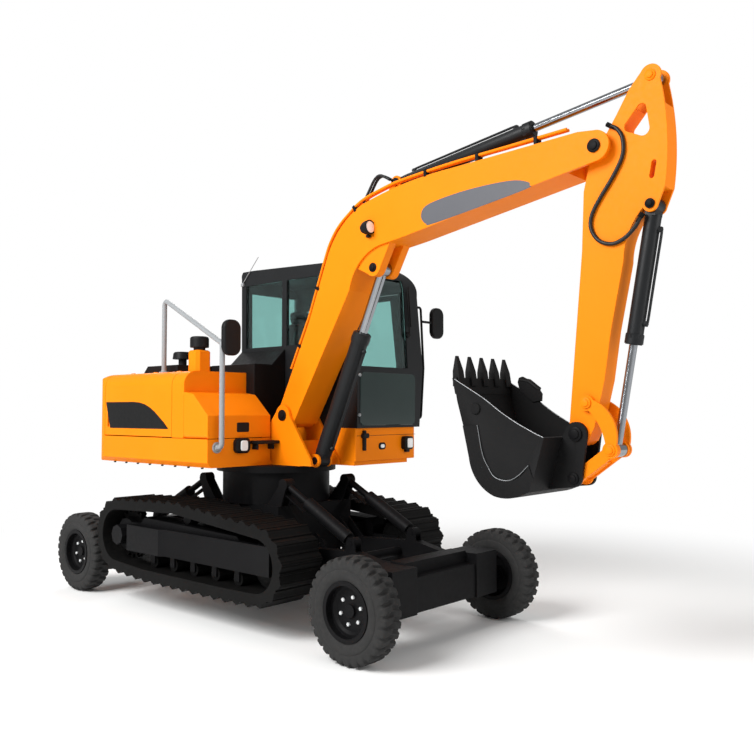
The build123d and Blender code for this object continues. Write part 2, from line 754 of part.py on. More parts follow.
# Lift frames: two arms, cross tubes, and a beam with blocks that hold the wheels.
foot_ear_off = LIFT_BOSS_HALF + 1 + LIFT_EAR_T / 2
lift_ends = (
    # name, direction along x, axle's distance from the slew axis
    ("front", 1, FRONT_AXLE_X),
    ("rear", -1, -REAR_AXLE_X),
)
for end, ahead, reach in lift_ends:
    beam_near = reach - BEAM_T / 2
    beam_x = ahead * reach
    with BuildPart() as lift_frame:
        for hand, outward in left_right:
            with BuildSketch(side(outward * ARM_Y)):
                with BuildLine():
                    Polyline(
                        (ahead * LIFT_PIVOT_X, LIFT_PIVOT_Z - LIFT_BOSS_R),
                        (ahead * (beam_near + 10), ARM_TIP_LOW_Z),
                        (ahead * (beam_near + 10), ARM_TIP_TOP_Z),
                        (ahead * (ARM_CREST_X + 120), ARM_CREST_Z),
                        (ahead * ARM_CREST_X, ARM_CREST_Z),
                        (ahead * LIFT_PIVOT_X, LIFT_PIVOT_Z + LIFT_BOSS_R),
                        close=True,
                    )
                make_face()
                with Locations((ahead * LIFT_PIVOT_X, LIFT_PIVOT_Z)):
                    Circle(LIFT_BOSS_R)
                    Circle(LIFT_PIN_R + PIN_FIT, mode=Mode.SUBTRACT)
            extrude(amount=ARM_T / 2, both=True)
            # Ears on the arm's crest, for the cylinder's foot.
            with BuildSketch(*twin(outward * ARM_Y, foot_ear_off)):
                with BuildLine():
                    Polyline(
                        (ahead * (LIFT_FOOT_X - 60), ARM_CREST_Z - 10),
                        (ahead * (LIFT_FOOT_X - LIFT_EAR_R), LIFT_FOOT_Z),
                        (ahead * (LIFT_FOOT_X + LIFT_EAR_R), LIFT_FOOT_Z),
                        (ahead * (LIFT_FOOT_X + 60), ARM_CREST_Z - 10),
                        close=True,
                    )
                make_face()
                with Locations((ahead * LIFT_FOOT_X, LIFT_FOOT_Z)):
                    Circle(LIFT_EAR_R)
                    Circle(LIFT_CYL_PIN_R + PIN_FIT, mode=Mode.SUBTRACT)
            extrude(amount=LIFT_EAR_T / 2, both=True)
        for tube_x, tube_z in ((1280, 600), (1600, 560)):
            with BuildSketch(Plane.XZ):
                with Locations((ahead * tube_x, tube_z)):
                    Circle(CROSS_TUBE_R)
            extrude(amount=ARM_Y, both=True)
        with Locations((beam_x, 0, (BEAM_LOW_Z + BEAM_TOP_Z) / 2)):
            Box(BEAM_T, 2 * BEAM_HALF_Y, BEAM_TOP_Z - BEAM_LOW_Z)
        with Locations((beam_x - ahead * 30, 0, (BEAM_LOW_Z + RAIL_TOP_Z) / 2)):
            Box(RAIL_T, 2 * END_BLOCK_Y, RAIL_TOP_Z - BEAM_LOW_Z)
        block_y = (END_BLOCK_Y + BEAM_HALF_Y) / 2
        for hand, outward in left_right:
            block_z = (END_BLOCK_LOW_Z + END_BLOCK_TOP_Z) / 2
            with Locations((beam_x + ahead * END_BLOCK_PROUD / 2, outward * block_y, block_z)):
                Box(
                    BEAM_T + END_BLOCK_PROUD,
                    BEAM_HALF_Y - END_BLOCK_Y,
                    END_BLOCK_TOP_Z - END_BLOCK_LOW_Z,
                )
            if end == "front":
                # The neck and the kingpin's boss, bored upright.
                neck_len = KING_Y - BEAM_HALF_Y + 10
                with Locations((beam_x, outward * (KING_Y - neck_len / 2), AXLE_Z)):
                    Box(2 * NECK_HALF_X, neck_len, 2 * NECK_HALF_Z)
                with BuildSketch(Plane.XY.offset(AXLE_Z)):
                    with Locations((beam_x, outward * KING_Y)):
                        Circle(KING_BOSS_R)
                extrude(amount=KING_BOSS_HALF, both=True)
                with BuildSketch(Plane.XY.offset(AXLE_Z)):
                    with Locations((beam_x, outward * KING_Y)):
                        Circle(KING_R + PIN_FIT)
                extrude(amount=KING_BOSS_HALF + 5, both=True, mode=Mode.SUBTRACT)
            else:
                # The fixed housing and its stub, which carries the wheel.
                hub_face = WHEEL_Y - HUB_INNER - SEAT
                for radius, end_y in ((REAR_HOUSING_R, REAR_HOUSING_Y), (REAR_STUB_R, hub_face)):
                    with BuildSketch(side(outward * (BEAM_HALF_Y - 20))):
                        with Locations((beam_x, AXLE_Z)):
                            Circle(radius)
                    extrude(amount=-outward * (end_y - BEAM_HALF_Y + 20))
    write(lift_frame, f"{end}_lift_frame")

    # The two lift cylinders, left and right, in one barrel node and one rod node.
    foot = (ahead * LIFT_FOOT_X, LIFT_FOOT_Z)
    eye = (ahead * LIFT_EYE_X, LIFT_EYE_Z)
    run = math.dist(foot, eye)
    tube_start = LIFT_EAR_R + 14
    with BuildPart() as lift_barrels:
        for hand, outward in left_right:
            square = slanted(foot, eye, outward * ARM_Y)
            with BuildSketch(square.offset(tube_start)):
                Circle(LIFT_BARREL_R)
            extrude(amount=LIFT_HEAD - tube_start)
            with BuildSketch(square):
                Rectangle(2 * LIFT_BOSS_HALF, 60)
            extrude(amount=tube_start + 10)
            for radius, half in ((LIFT_EAR_R, LIFT_BOSS_HALF), (LIFT_CYL_PIN_R, ARM_T / 2 + 3)):
                with BuildSketch(side(outward * ARM_Y)):
                    with Locations(foot):
                        Circle(radius)
                extrude(amount=half, both=True)
            with BuildSketch(square.offset(tube_start + 40)):
                Circle(LIFT_ROD_R + PIN_FIT)
            extrude(amount=LIFT_HEAD, mode=Mode.SUBTRACT)
    write(lift_barrels, f"{end}_lift_barrels")
    with BuildPart() as lift_rods:
        for hand, outward in left_right:
            square = slanted(foot, eye, outward * ARM_Y)
            with BuildSketch(square.offset(LIFT_HEAD - LIFT_ROD_IN)):
                Circle(LIFT_ROD_R)
            extrude(amount=run - LIFT_HEAD + LIFT_ROD_IN)
            with BuildSketch(side(outward * ARM_Y)):
                with Locations(eye):
                    Circle(TOWER_EAR_R)
            extrude(amount=LIFT_EYE_HALF, both=True)
            # The guard plate slides over the barrel with the rod.
            with BuildSketch(square.offset(run - COVER_LEN)):
                with Locations((0, ahead * COVER_RISE)):
                    Rectangle(COVER_W / 2, COVER_T)
            extrude(amount=COVER_LEN)
            with BuildSketch(square.offset(run - 12)):
                with Locations((0, ahead * COVER_RISE / 2)):
                    Rectangle(2 * LIFT_EYE_HALF, COVER_RISE)
            extrude(amount=12)
    write(lift_rods, f"{end}_lift_rods")

# Steering knuckles: a yoke round the boss, its kingpin, a spindle and an arm to the rear.
king_half = KING_BOSS_HALF + SEAT + YOKE_T
for hand, outward in left_right:
    with BuildPart() as knuckle:
        ear_len = YOKE_BACK_Y + 25 - (KING_Y - YOKE_IN)
        ear_y = outward * (KING_Y - YOKE_IN + ear_len / 2)
        for up in (-1, 1):
            ear_z = AXLE_Z + up * (KING_BOSS_HALF + SEAT + YOKE_T / 2)
            with Locations((FRONT_AXLE_X, ear_y, ear_z)):
                Box(2 * YOKE_HALF_X, ear_len, YOKE_T)
        back_y = outward * (YOKE_BACK_Y + YOKE_BACK_T / 2)
        with Locations((FRONT_AXLE_X, back_y, AXLE_Z)):
            Box(2 * YOKE_HALF_X, YOKE_BACK_T, 2 * king_half)
        with BuildSketch(Plane.XY.offset(AXLE_Z)):
            with Locations((FRONT_AXLE_X, outward * KING_Y)):
                Circle(KING_R)
        extrude(amount=king_half, both=True)
        spindle_len = WHEEL_Y - HUB_INNER - SEAT - YOKE_BACK_Y
        with BuildSketch(side(outward * YOKE_BACK_Y)):
            with Locations((FRONT_AXLE_X, AXLE_Z)):
                Circle(SPINDLE_R)
        extrude(amount=-outward * spindle_len)
        with BuildSketch(Plane.XY.offset(STEER_ARM_LOW_Z)):
            with BuildLine():
                Polyline(
                    (FRONT_AXLE_X + YOKE_HALF_X, outward * (KING_Y - YOKE_IN)),
                    (FRONT_AXLE_X + YOKE_HALF_X, outward * (KING_Y + YOKE_IN)),
                    (FRONT_AXLE_X - STEER_ARM, outward * (KING_Y + STEER_ARM_W / 2)),
                    (FRONT_AXLE_X - STEER_ARM, outward * (KING_Y - STEER_ARM_W / 2)),
                    close=True,
                )
            make_face()
            with Locations((FRONT_AXLE_X - STEER_ARM, outward * KING_Y)):
                Circle(STEER_ARM_W / 2)
        extrude(amount=STEER_ARM_T)
    write(knuckle, f"knuckle_{hand}")

tie_x = FRONT_AXLE_X - STEER_ARM
tie_z = STEER_ARM_LOW_Z + STEER_ARM_T + SEAT
with BuildPart() as tie_rod:
    with BuildSketch(Plane.XZ):
        with Locations((tie_x, tie_z + TIE_EYE_H / 2)):
            Circle(TIE_R - 1)
    extrude(amount=KING_Y, both=True)
    with BuildSketch(Plane.XY.offset(tie_z)):
        with Locations((tie_x, KING_Y), (tie_x, -KING_Y)):
            Circle(TIE_EYE_R)
    extrude(amount=TIE_EYE_H)
write(tie_rod, "tie_rod")

def house_section(inset):
    """The house's upright section across the machine, drawn in by inset, with round shoulders."""
    half = HOUSE_HALF_Y - inset
    top = SHOULDER_Z - inset
    arc_r = SHOULDER_R - inset
    slant = arc_r * (1 - math.sqrt(0.5))
    with BuildSketch() as section:
        with BuildLine():
            Polyline(
                (-half, top - arc_r),
                (-half, FLOOR_Z + HEM),
                (HEM - half, FLOOR_Z),
                (half - HEM, FLOOR_Z),
                (half, FLOOR_Z + HEM),
                (half, top - arc_r),
            )
            ThreePointArc((half, top - arc_r), (half - slant, top - slant), (half - arc_r, top))
            Line((half - arc_r, top), (arc_r - half, top))
            ThreePointArc((arc_r - half, top), (slant - half, top - slant), (-half, top - arc_r))
        make_face()
    return section.face()


# Deck: the floor plate, its tongue to the boom cylinder, and the skirt round its edge.
skirt_mid_z = (FLOOR_Z + SKIRT_TOP_Z) / 2
skirt_h = SKIRT_TOP_Z - FLOOR_Z
with BuildPart() as deck:
    with BuildSketch(Plane.XY.offset(FLOOR_Z)):
        with BuildLine():
            Polyline(
                (WEIGHT_FRONT_X + SEAT, -HOUSE_HALF_Y),
                (TANK_FRONT_X, -HOUSE_HALF_Y),
                (TANK_FRONT_X, TOOL_Y - BRACKET_IN - BRACKET_T),
                (TONGUE_X, TOOL_Y - BRACKET_IN - BRACKET_T),
                (TONGUE_X, TOOL_Y + BRACKET_IN + BRACKET_T),
                (CAB_BASE_FRONT_X - 20, TOOL_Y + BRACKET_IN + BRACKET_T + 10),
                (CAB_BASE_FRONT_X - 20, HOUSE_HALF_Y - 110),
                (CAB_BASE_FRONT_X - 130, HOUSE_HALF_Y),
                (WEIGHT_FRONT_X + SEAT, HOUSE_HALF_Y),
                close=True,
            )
        make_face()
    extrude(amount=DECK_T)
    skirt_runs = (
        # first corner x, y, second corner x, y
        (WEIGHT_FRONT_X + SEAT, -HOUSE_HALF_Y, TANK_FRONT_X, SKIRT_T - HOUSE_HALF_Y),
        (TANK_FRONT_X - SKIRT_T, -HOUSE_HALF_Y, TANK_FRONT_X, INNER_Y),
        (WEIGHT_FRONT_X + SEAT, HOUSE_HALF_Y - SKIRT_T, CAB_REAR_X - 8, HOUSE_HALF_Y),
    )
    for x_low, y_low, x_high, y_high in skirt_runs:
        with Locations(((x_low + x_high) / 2, (y_low + y_high) / 2, skirt_mid_z)):
            Box(x_high - x_low, y_high - y_low, skirt_h)
    # Its lower edges slant in along both sides.
    with BuildSketch(Plane.YZ.offset(WEIGHT_FRONT_X)):
        add(house_section(0))
    extrude(amount=CAB_BASE_FRONT_X - WEIGHT_FRONT_X, mode=Mode.INTERSECT)
    # The two brackets that hold the boom's foot.
    bracket_off = BRACKET_IN + BRACKET_T / 2
    with BuildSketch(*twin(TOOL_Y, bracket_off)):
        with BuildLine():
            Polyline(
                (VALVE_FRONT_X + 10, FLOOR_Z + 5),
                (VALVE_FRONT_X + 40, FLOOR_Z + 180),
                (FOOT_X - 90, FOOT_Z + 30),
                (FOOT_X + 60, FOOT_Z + 75),
                (FOOT_X + 95, FOOT_Z),
                (TONGUE_X + 140, FLOOR_Z + 60),
                (TONGUE_X + 150, FLOOR_Z + 5),
                close=True,
            )
        make_face()
        with Locations((FOOT_X, FOOT_Z)):
            Circle(BRACKET_R)
            Circle(FOOT_PIN_R + PIN_FIT, mode=Mode.SUBTRACT)
    extrude(amount=BRACKET_T / 2, both=True)
    with Locations((TONGUE_X - 120, TOOL_Y, FLOOR_Z + DECK_T + 90)):
        Box(20, 2 * BRACKET_IN + 10, 200)
    # Ears for the foot of the boom cylinder.
    with BuildSketch(*twin(TOOL_Y, BOOM_EAR_IN + BOOM_EAR_T / 2)):
        with BuildLine():
            Polyline(
                (TONGUE_X - 125, FLOOR_Z + 10),
                (BOOM_CYL_X, BOOM_CYL_Z - 50),
                (BOOM_CYL_X + 60, BOOM_CYL_Z),
                (BOOM_CYL_X, BOOM_CYL_Z + 60),
                (TONGUE_X - 125, FLOOR_Z + 100),
                close=True,
            )
        make_face()
        with Locations((BOOM_CYL_X, BOOM_CYL_Z)):
            Circle(60)
            Circle(BOOM_CYL_PIN_R + PIN_FIT, mode=Mode.SUBTRACT)
    extrude(amount=BOOM_EAR_T / 2, both=True)
write(deck, "deck")


# Counterweight: the whole rear end, with round upright corners and a round top edge.
with BuildPart() as counterweight:
    with BuildSketch(Plane.YZ.offset(HOUSE_REAR_X)):
        add(house_section(0))
    extrude(amount=WEIGHT_FRONT_X - HOUSE_REAR_X)
    with BuildSketch(Plane.XY.offset(FLOOR_Z)):
        with Locations(((HOUSE_REAR_X + 600), 0)):
            RectangleRounded(1200, 2 * HOUSE_HALF_Y, REAR_R)
    extrude(amount=SHOULDER_Z - FLOOR_Z, mode=Mode.INTERSECT)
    round_low = (HOUSE_REAR_X, SHOULDER_Z - REAR_TOP_R)
    round_slant = REAR_TOP_R * (1 - math.sqrt(0.5))
    round_mid = (HOUSE_REAR_X + round_slant, SHOULDER_Z - round_slant)
    round_high = (HOUSE_REAR_X + REAR_TOP_R, SHOULDER_Z)
    with BuildSketch(side(0)):
        with BuildLine():
            ThreePointArc(round_low, round_mid, round_high)
            Polyline(
                round_high,
                (WEIGHT_FRONT_X + 50, SHOULDER_Z),
                (WEIGHT_FRONT_X + 50, FLOOR_Z),
                (HOUSE_REAR_X + HEM, FLOOR_Z),
                (HOUSE_REAR_X, FLOOR_Z + HEM),
                round_low,
            )
        make_face()
    extrude(amount=HOUSE_HALF_Y, both=True, mode=Mode.INTERSECT)
write(counterweight, "counterweight")


def house_shell(inset):
    """The cover's solid form: full width behind, the right half ahead, drawn in by inset."""
    with BuildPart() as form:
        with BuildSketch(Plane.YZ.offset(WEIGHT_FRONT_X + SEAT + inset)):
            add(house_section(inset))
        extrude(amount=STEP_X - WEIGHT_FRONT_X - SEAT - 2 * inset)
        with Locations((0, HOUSE_HALF_Y + INNER_Y - inset, (SEAM_Z + SHOULDER_Z) / 2)):
            Box(
                2 * (-COVER_FRONT_X + inset),
                2 * HOUSE_HALF_Y,
                3 * SHOULDER_Z,
                mode=Mode.SUBTRACT,
            )
        with Locations((0, 0, SEAM_Z / 2)):
            Box(6 * HOUSE_HALF_Y, 6 * HOUSE_HALF_Y, SEAM_Z, mode=Mode.SUBTRACT)
    return form.part


def door_block(x_low, x_high, hand_sign, gap, hinge_gap):
    """The space a side door fills: outside its hinge line, between two seams and above a third."""
    y_near = DOOR_HINGE_Y + hinge_gap
    y_far = HOUSE_HALF_Y + 40
    z_low = SEAM_Z + gap
    z_high = SHOULDER_Z + 40
    with BuildPart() as block:
        with Locations(((x_low + x_high) / 2, hand_sign * (y_near + y_far) / 2, (z_low + z_high) / 2)):
            Box(x_high - x_low - 2 * gap, y_far - y_near, z_high - z_low)
    return block.part


door_bays = (
    # name, side, rear x, front x, hinge knuckles' x
    ("right", -1, WEIGHT_FRONT_X + 5, SEAM_X, (-1300, -900, -500)),
    ("left", 1, WEIGHT_FRONT_X + 5, COVER_FRONT_X, (-1350, -1110, -870)),
)
hood_knuckles = (-420, 420)
cover_outer = house_shell(0)
cover_inner = house_shell(WALL)
with BuildPart() as house_cover:
    add(cover_outer)
    add(cover_inner, mode=Mode.SUBTRACT)
    for name, hand_sign, rear_x, front_x, knuckles in door_bays:
        add(door_block(rear_x, front_x, hand_sign, 0, 0), mode=Mode.SUBTRACT)
        with Locations(*[(x, hand_sign * DOOR_HINGE_Y, SHOULDER_Z) for x in knuckles]):
            Cylinder(
                KNUCKLE_R + KNUCKLE_GAP,
                KNUCKLE_LEN + 2 * KNUCKLE_GAP,
                rotation=ALONG_X,
                mode=Mode.SUBTRACT,
            )
    with Locations(*[(HOOD_REAR_X, y, SHOULDER_Z + SEAT) for y in hood_knuckles]):
        Cylinder(
            KNUCKLE_R + KNUCKLE_GAP,
            KNUCKLE_LEN + 2 * KNUCKLE_GAP,
            rotation=ALONG_Y,
            mode=Mode.SUBTRACT,
        )
write(house_cover, "house_cover")

for name, hand_sign, rear_x, front_x, knuckles in door_bays:
    with BuildPart() as side_door:
        add(cover_outer)
        add(cover_inner, mode=Mode.SUBTRACT)
        add(door_block(rear_x, front_x, hand_sign, DOOR_GAP, SEAT), mode=Mode.INTERSECT)
        if name == "right":
            for slot in range(GRILLE_SLOTS):
                slot_x = GRILLE_LEFT_X + slot * GRILLE_STEP
                bend = max(slot / (GRILLE_SLOTS - 1) - 0.4, 0) / 0.6
                slot_top = GRILLE_TOP_Z - (GRILLE_TOP_Z - GRILLE_LOW_Z - 50) * bend**1.6
                slot_z = (GRILLE_LOW_Z + slot_top) / 2
                with Locations((slot_x, -HOUSE_HALF_Y, slot_z)):
                    Box(GRILLE_SLOT_W, 3 * WALL, slot_top - GRILLE_LOW_Z, mode=Mode.SUBTRACT)
        with Locations(*[(x, hand_sign * DOOR_HINGE_Y, SHOULDER_Z) for x in knuckles]):
            Cylinder(KNUCKLE_R, KNUCKLE_LEN, rotation=ALONG_X)
    write(side_door, f"{name}_door")

with BuildPart() as hood:
    with BuildSketch(Plane.XZ):
        with BuildLine():
            Polyline(
                (HOOD_REAR_X, SHOULDER_Z + SEAT),
                (HOOD_FRONT_X, SHOULDER_Z + SEAT),
                (HOOD_FRONT_X, HOOD_TOP_Z),
                (HOOD_REAR_X + 90, HOOD_TOP_Z),
                close=True,
            )
        make_face()
    extrude(amount=HOOD_HALF_Y, both=True)
    with Locations(*[(HOOD_REAR_X, y, SHOULDER_Z + SEAT) for y in hood_knuckles]):
        Cylinder(KNUCKLE_R, KNUCKLE_LEN, rotation=ALONG_Y)
    # The round filler cap on its stem.
    with BuildSketch(Plane.XY.offset(HOOD_TOP_Z)):
        with Locations((FILLER_X, FILLER_Y)):
            Circle(FILLER_STEM_R)
    extrude(amount=FILLER_RISE)
    with BuildSketch(Plane.XY.offset(HOOD_TOP_Z + FILLER_RISE)):
        with Locations((FILLER_X, FILLER_Y)):
            Circle(FILLER_R)
    extrude(amount=-FILLER_CAP_H, taper=-8)
    fillet(hood.faces().sort_by(Axis.Z)[-1].edges(), radius=26)
write(hood, "hood")

with BuildPart() as engine:
    engine_low = FLOOR_Z + DECK_T + SEAT
    with Locations(((ENGINE_REAR_X + ENGINE_FRONT_X) / 2, 0, (engine_low + ENGINE_TOP_Z) / 2)):
        Box(ENGINE_FRONT_X - ENGINE_REAR_X, 2 * ENGINE_HALF_Y, ENGINE_TOP_Z - engine_low)
write(engine, "engine")

# Tank: a sloping box ahead of the cover on the right.
with BuildPart() as tank:
    tank_right = side(-HOUSE_HALF_Y)
    with BuildSketch(tank_right):
        with BuildLine():
            Polyline(
                (STEP_X + SEAT, SEAM_Z),
                (STEP_X + SEAT, TANK_TOP_Z),
                (TANK_BREAK_X, TANK_BREAK_Z),
                (TANK_FRONT_X, TANK_NOSE_Z),
                (TANK_FRONT_X, SEAM_Z),
                close=True,
            )
        make_face()
    extrude(amount=-(INNER_Y + HOUSE_HALF_Y))
    fillet(tank.edges().filter_by(Axis.X).sort_by(Axis.Y)[0:1], radius=30)
write(tank, "tank")

with BuildPart() as valve_cover:
    with BuildSketch(Plane.YZ.offset(VALVE_REAR_X)):
        with BuildLine():
            Polyline(
                (INNER_Y + SEAT, FLOOR_Z + DECK_T + SEAT),
                (INNER_Y + SEAT, VALVE_LOW_Z),
                (VALVE_SLOPE_Y, VALVE_LOW_Z),
                (VALVE_LEFT_Y, VALVE_TOP_Z),
                (VALVE_LEFT_Y, FLOOR_Z + DECK_T + SEAT),
                close=True,
            )
        make_face()
    extrude(amount=VALVE_FRONT_X - VALVE_REAR_X)
write(valve_cover, "valve_cover")

# Air intake: a square pedestal with slanted edges, and a round cap on a neck.
stack_top_z = SHOULDER_Z + SEAT + STACK_H
with BuildPart() as stack:
    with BuildSketch(Plane.XY.offset(SHOULDER_Z + SEAT)):
        with Locations((STACK_X, STACK_Y)):
            Rectangle(STACK_W, STACK_W)
        chamfer(vertices(), length=STACK_EDGE)
    extrude(amount=STACK_H)
    chamfer(stack.faces().sort_by(Axis.Z)[-1].edges(), length=STACK_EDGE / 2)
write(stack, "intake_stack")

with BuildPart() as stack_cap:
    with BuildSketch(Plane.XY.offset(stack_top_z + SEAT)):
        with Locations((STACK_X, STACK_Y)):
            Circle(STACK_NECK_R)
    extrude(amount=STACK_NECK_H)
    with BuildSketch(Plane.XY.offset(stack_top_z + SEAT + STACK_NECK_H)):
        with Locations((STACK_X, STACK_Y)):
            Circle(STACK_CAP_R)
    extrude(amount=STACK_CAP_H)
    fillet(stack_cap.faces().sort_by(Axis.Z)[-1].edges(), radius=24)
write(stack_cap, "stack_cap")


def tube(points, corner_r, radius):
    """A round tube along straight runs joined by arcs."""
    with BuildPart() as bent:
        with BuildLine() as run_line:
            FilletPolyline(*points, radius=corner_r)
        with BuildSketch(run_line.line ^ 0):
            Circle(radius)
        sweep()
    return bent.part


rail_x = TANK_FRONT_X + 70
with BuildPart() as handrail:
    add(
        tube(
            [
                (TANK_FRONT_X + SEAT, RAIL_FRONT_Y, 1545),
                (rail_x, RAIL_FRONT_Y, 1545),
                (rail_x, RAIL_FRONT_Y, 2470),
                (RAIL_FOOT_X, RAIL_FOOT_Y, 2975),
                (RAIL_FOOT_X, RAIL_FOOT_Y, SHOULDER_Z + SEAT),
            ],
            45,
            RAIL_R,
        )
    )
write(handrail, "handrail")

with BuildPart() as front_step:
    with Locations((TANK_FRONT_X + SEAT + 60, -392, 1582)):
        Box(120, 254, 30)
    for bracket_y in (-490, -300):
        with Locations((TANK_FRONT_X + SEAT + 40, bracket_y, 1545)):
            Box(80, 16, 60)
write(front_step, "front_step")

with BuildPart() as right_mirror:
    with BuildSketch(Plane.YZ.offset(rail_x + RAIL_R + 30)):
        with Locations((RAIL_FRONT_Y + 30, 2520)):
            RectangleRounded(MIRROR_W, MIRROR_H, MIRROR_R)
    extrude(amount=MIRROR_T)
    fillet(right_mirror.edges(), radius=MIRROR_T / 3)
    with Locations((rail_x + RAIL_R + 22 + SEAT, RAIL_FRONT_Y, 2420)):
        Box(44, 26, 30)
write(right_mirror, "right_mirror")

# Cab base: the skirt below the cab, with one round corner.
with BuildPart() as cab_base:
    with BuildSketch(Plane.XY.offset(FLOOR_Z + DECK_T + SEAT)):
        with BuildLine():
            corner_x = CAB_BASE_FRONT_X - CAB_BASE_R
            corner_y = CAB_BASE_LEFT_Y - CAB_BASE_R
            Polyline(
                (corner_x, CAB_BASE_LEFT_Y),
                (CAB_REAR_X, CAB_BASE_LEFT_Y),
                (CAB_REAR_X, CAB_RIGHT_Y),
                (CAB_BASE_FRONT_X, CAB_RIGHT_Y),
                (CAB_BASE_FRONT_X, corner_y),
            )
            RadiusArc((CAB_BASE_FRONT_X, corner_y), (corner_x, CAB_BASE_LEFT_Y), -CAB_BASE_R)
        make_face()
    extrude(amount=CAB_LOW_Z - SEAT - FLOOR_Z - DECK_T - SEAT)
write(cab_base, "cab_base")


def cab_form(inset):
    """The cab's outside form drawn in by inset: a front section crossed with a side section."""
    with BuildPart() as form:
        with BuildSketch(Plane.YZ.offset(CAB_REAR_X - 100)):
            with BuildLine():
                Polyline(
                    (ROOF_LEFT_Y, ROOF_LEFT_Z),
                    (CAB_RIGHT_Y, ROOF_RIGHT_Z),
                    (CAB_RIGHT_Y, CAB_LOW_Z),
                    (CAB_LEFT_Y, CAB_LOW_Z),
                    (CAB_WAIST_Y, CAB_WAIST_Z),
                    (CAB_SHOULDER_Y, CAB_SHOULDER_Z),
                )
                ThreePointArc(
                    (CAB_SHOULDER_Y, CAB_SHOULDER_Z),
                    (930, 3190),
                    (ROOF_LEFT_Y, ROOF_LEFT_Z),
                )
            make_face()
            if inset:
                offset(amount=-inset, kind=Kind.INTERSECTION)
        extrude(amount=CAB_FRONT_X - CAB_REAR_X + 300)
        with BuildSketch(side(CAB_WAIST_Y + 200)):
            with BuildLine():
                Polyline((780, 3290), (-640, 3345))
                ThreePointArc((-640, 3345), (-702, 3330), (-715, 3270))
                Polyline(
                    (-715, 3270),
                    (CAB_REAR_X, CAB_LOW_Z),
                    (CAB_FRONT_X, CAB_LOW_Z),
                    (CAB_FRONT_X + 15, 3040),
                )
                ThreePointArc((CAB_FRONT_X + 15, 3040), (930, 3200), (780, 3290))
            make_face()
            if inset:
                offset(amount=-inset, kind=Kind.INTERSECTION)
        extrude(amount=CAB_WAIST_Y + 400, mode=Mode.INTERSECT)
    return form.part


def window_blocks(shrink):
    """Blocks that cut the cab's fixed windows, each drawn in by shrink."""
    with BuildPart() as blocks:
        with BuildSketch(Plane.YZ.offset(CAB_FRONT_X - 130)):
            with BuildLine():
                Polyline((175, 2290), (850, 2290), (775, 3150), (175, 3150), close=True)
            make_face()
            offset(amount=-shrink, kind=Kind.INTERSECTION)
        extrude(amount=300)
        for x_low, x_high in ((-640, -75), (-5, 720)):
            with Locations(((x_low + x_high) / 2, CAB_RIGHT_Y, 2855)):
                Box(x_high - x_low - 2 * shrink, 200, 660 - 2 * shrink)
        with Locations((CAB_REAR_X, 560, 2770)):
            Box(200, 640 - 2 * shrink, 700 - 2 * shrink)
        with Locations((-420, CAB_WAIST_Y, 2640)):
            Box(340 - 2 * shrink, 300, 700 - 2 * shrink)
    return blocks.part


def door_cut(gap):
    """The block that cuts the cab's door out of the left wall, drawn in by gap."""
    with BuildPart() as block:
        x_mid = (DOOR_REAR_X + DOOR_FRONT_X) / 2
        with Locations((x_mid, CAB_WAIST_Y - 30, (DOOR_LOW_Z + DOOR_TOP_Z) / 2)):
            Box(
                DOOR_FRONT_X - DOOR_REAR_X - 2 * gap,
                300,
                DOOR_TOP_Z - DOOR_LOW_Z - 2 * gap,
            )
    return block.part


def door_window(shrink):
    """The block that cuts the door's window, drawn in by shrink."""
    with BuildPart() as block:
        with Locations((300, CAB_WAIST_Y - 30, 2645)):
            Box(720 - 2 * shrink, 300, 710 - 2 * shrink)
    return block.part


hinge_places = (1950, 2650)
cab_outer = cab_form(0)
cab_inner = cab_form(CAB_WALL)
with BuildPart() as cab_shell:
    add(cab_outer)
    add(cab_inner, mode=Mode.SUBTRACT)
    add(window_blocks(0), mode=Mode.SUBTRACT)
    add(door_cut(0), mode=Mode.SUBTRACT)
    for hinge_z in hinge_places:
        with Locations((DOOR_PIN_X - 40, (DOOR_PIN_Y + CAB_LEFT_Y - 30) / 2, hinge_z)):
            Box(40, DOOR_PIN_Y - CAB_LEFT_Y + 30, 40)
        with Locations((DOOR_PIN_X - 15, DOOR_PIN_Y, hinge_z)):
            Box(40, 14, 40)
        with Locations((DOOR_PIN_X, DOOR_PIN_Y, hinge_z)):
            Cylinder(DOOR_PIN_R, 40)
write(cab_shell, "cab_shell")

with BuildPart() as cab_door:
    add(cab_outer)
    add(cab_inner, mode=Mode.SUBTRACT)
    add(door_cut(CAB_DOOR_GAP), mode=Mode.INTERSECT)
    add(door_window(0), mode=Mode.SUBTRACT)
    for hinge_z in hinge_places:
        leaf_z = hinge_z + 40 + SEAT
        with Locations((DOOR_REAR_X + CAB_DOOR_GAP + 25, (DOOR_PIN_Y + CAB_LEFT_Y - 30) / 2, leaf_z)):
            Box(40, DOOR_PIN_Y - CAB_LEFT_Y + 30, 40)
        with Locations((DOOR_PIN_X + 15, DOOR_PIN_Y, leaf_z)):
            Box(40, 14, 40)
        with Locations((DOOR_PIN_X, DOOR_PIN_Y, leaf_z)):
            Cylinder(DOOR_PIN_R, 40)
write(cab_door, "cab_door")

glass_outer = cab_form(GLASS_IN)
glass_inner = cab_form(GLASS_IN + GLASS_T)
with BuildPart() as cab_glass:
    add(glass_outer)
    add(glass_inner, mode=Mode.SUBTRACT)
    add(window_blocks(SEAT), mode=Mode.INTERSECT)
write(cab_glass, "cab_glass")

with BuildPart() as door_glass:
    add(glass_outer)
    add(glass_inner, mode=Mode.SUBTRACT)
    add(door_window(SEAT), mode=Mode.INTERSECT)
write(door_glass, "door_glass")

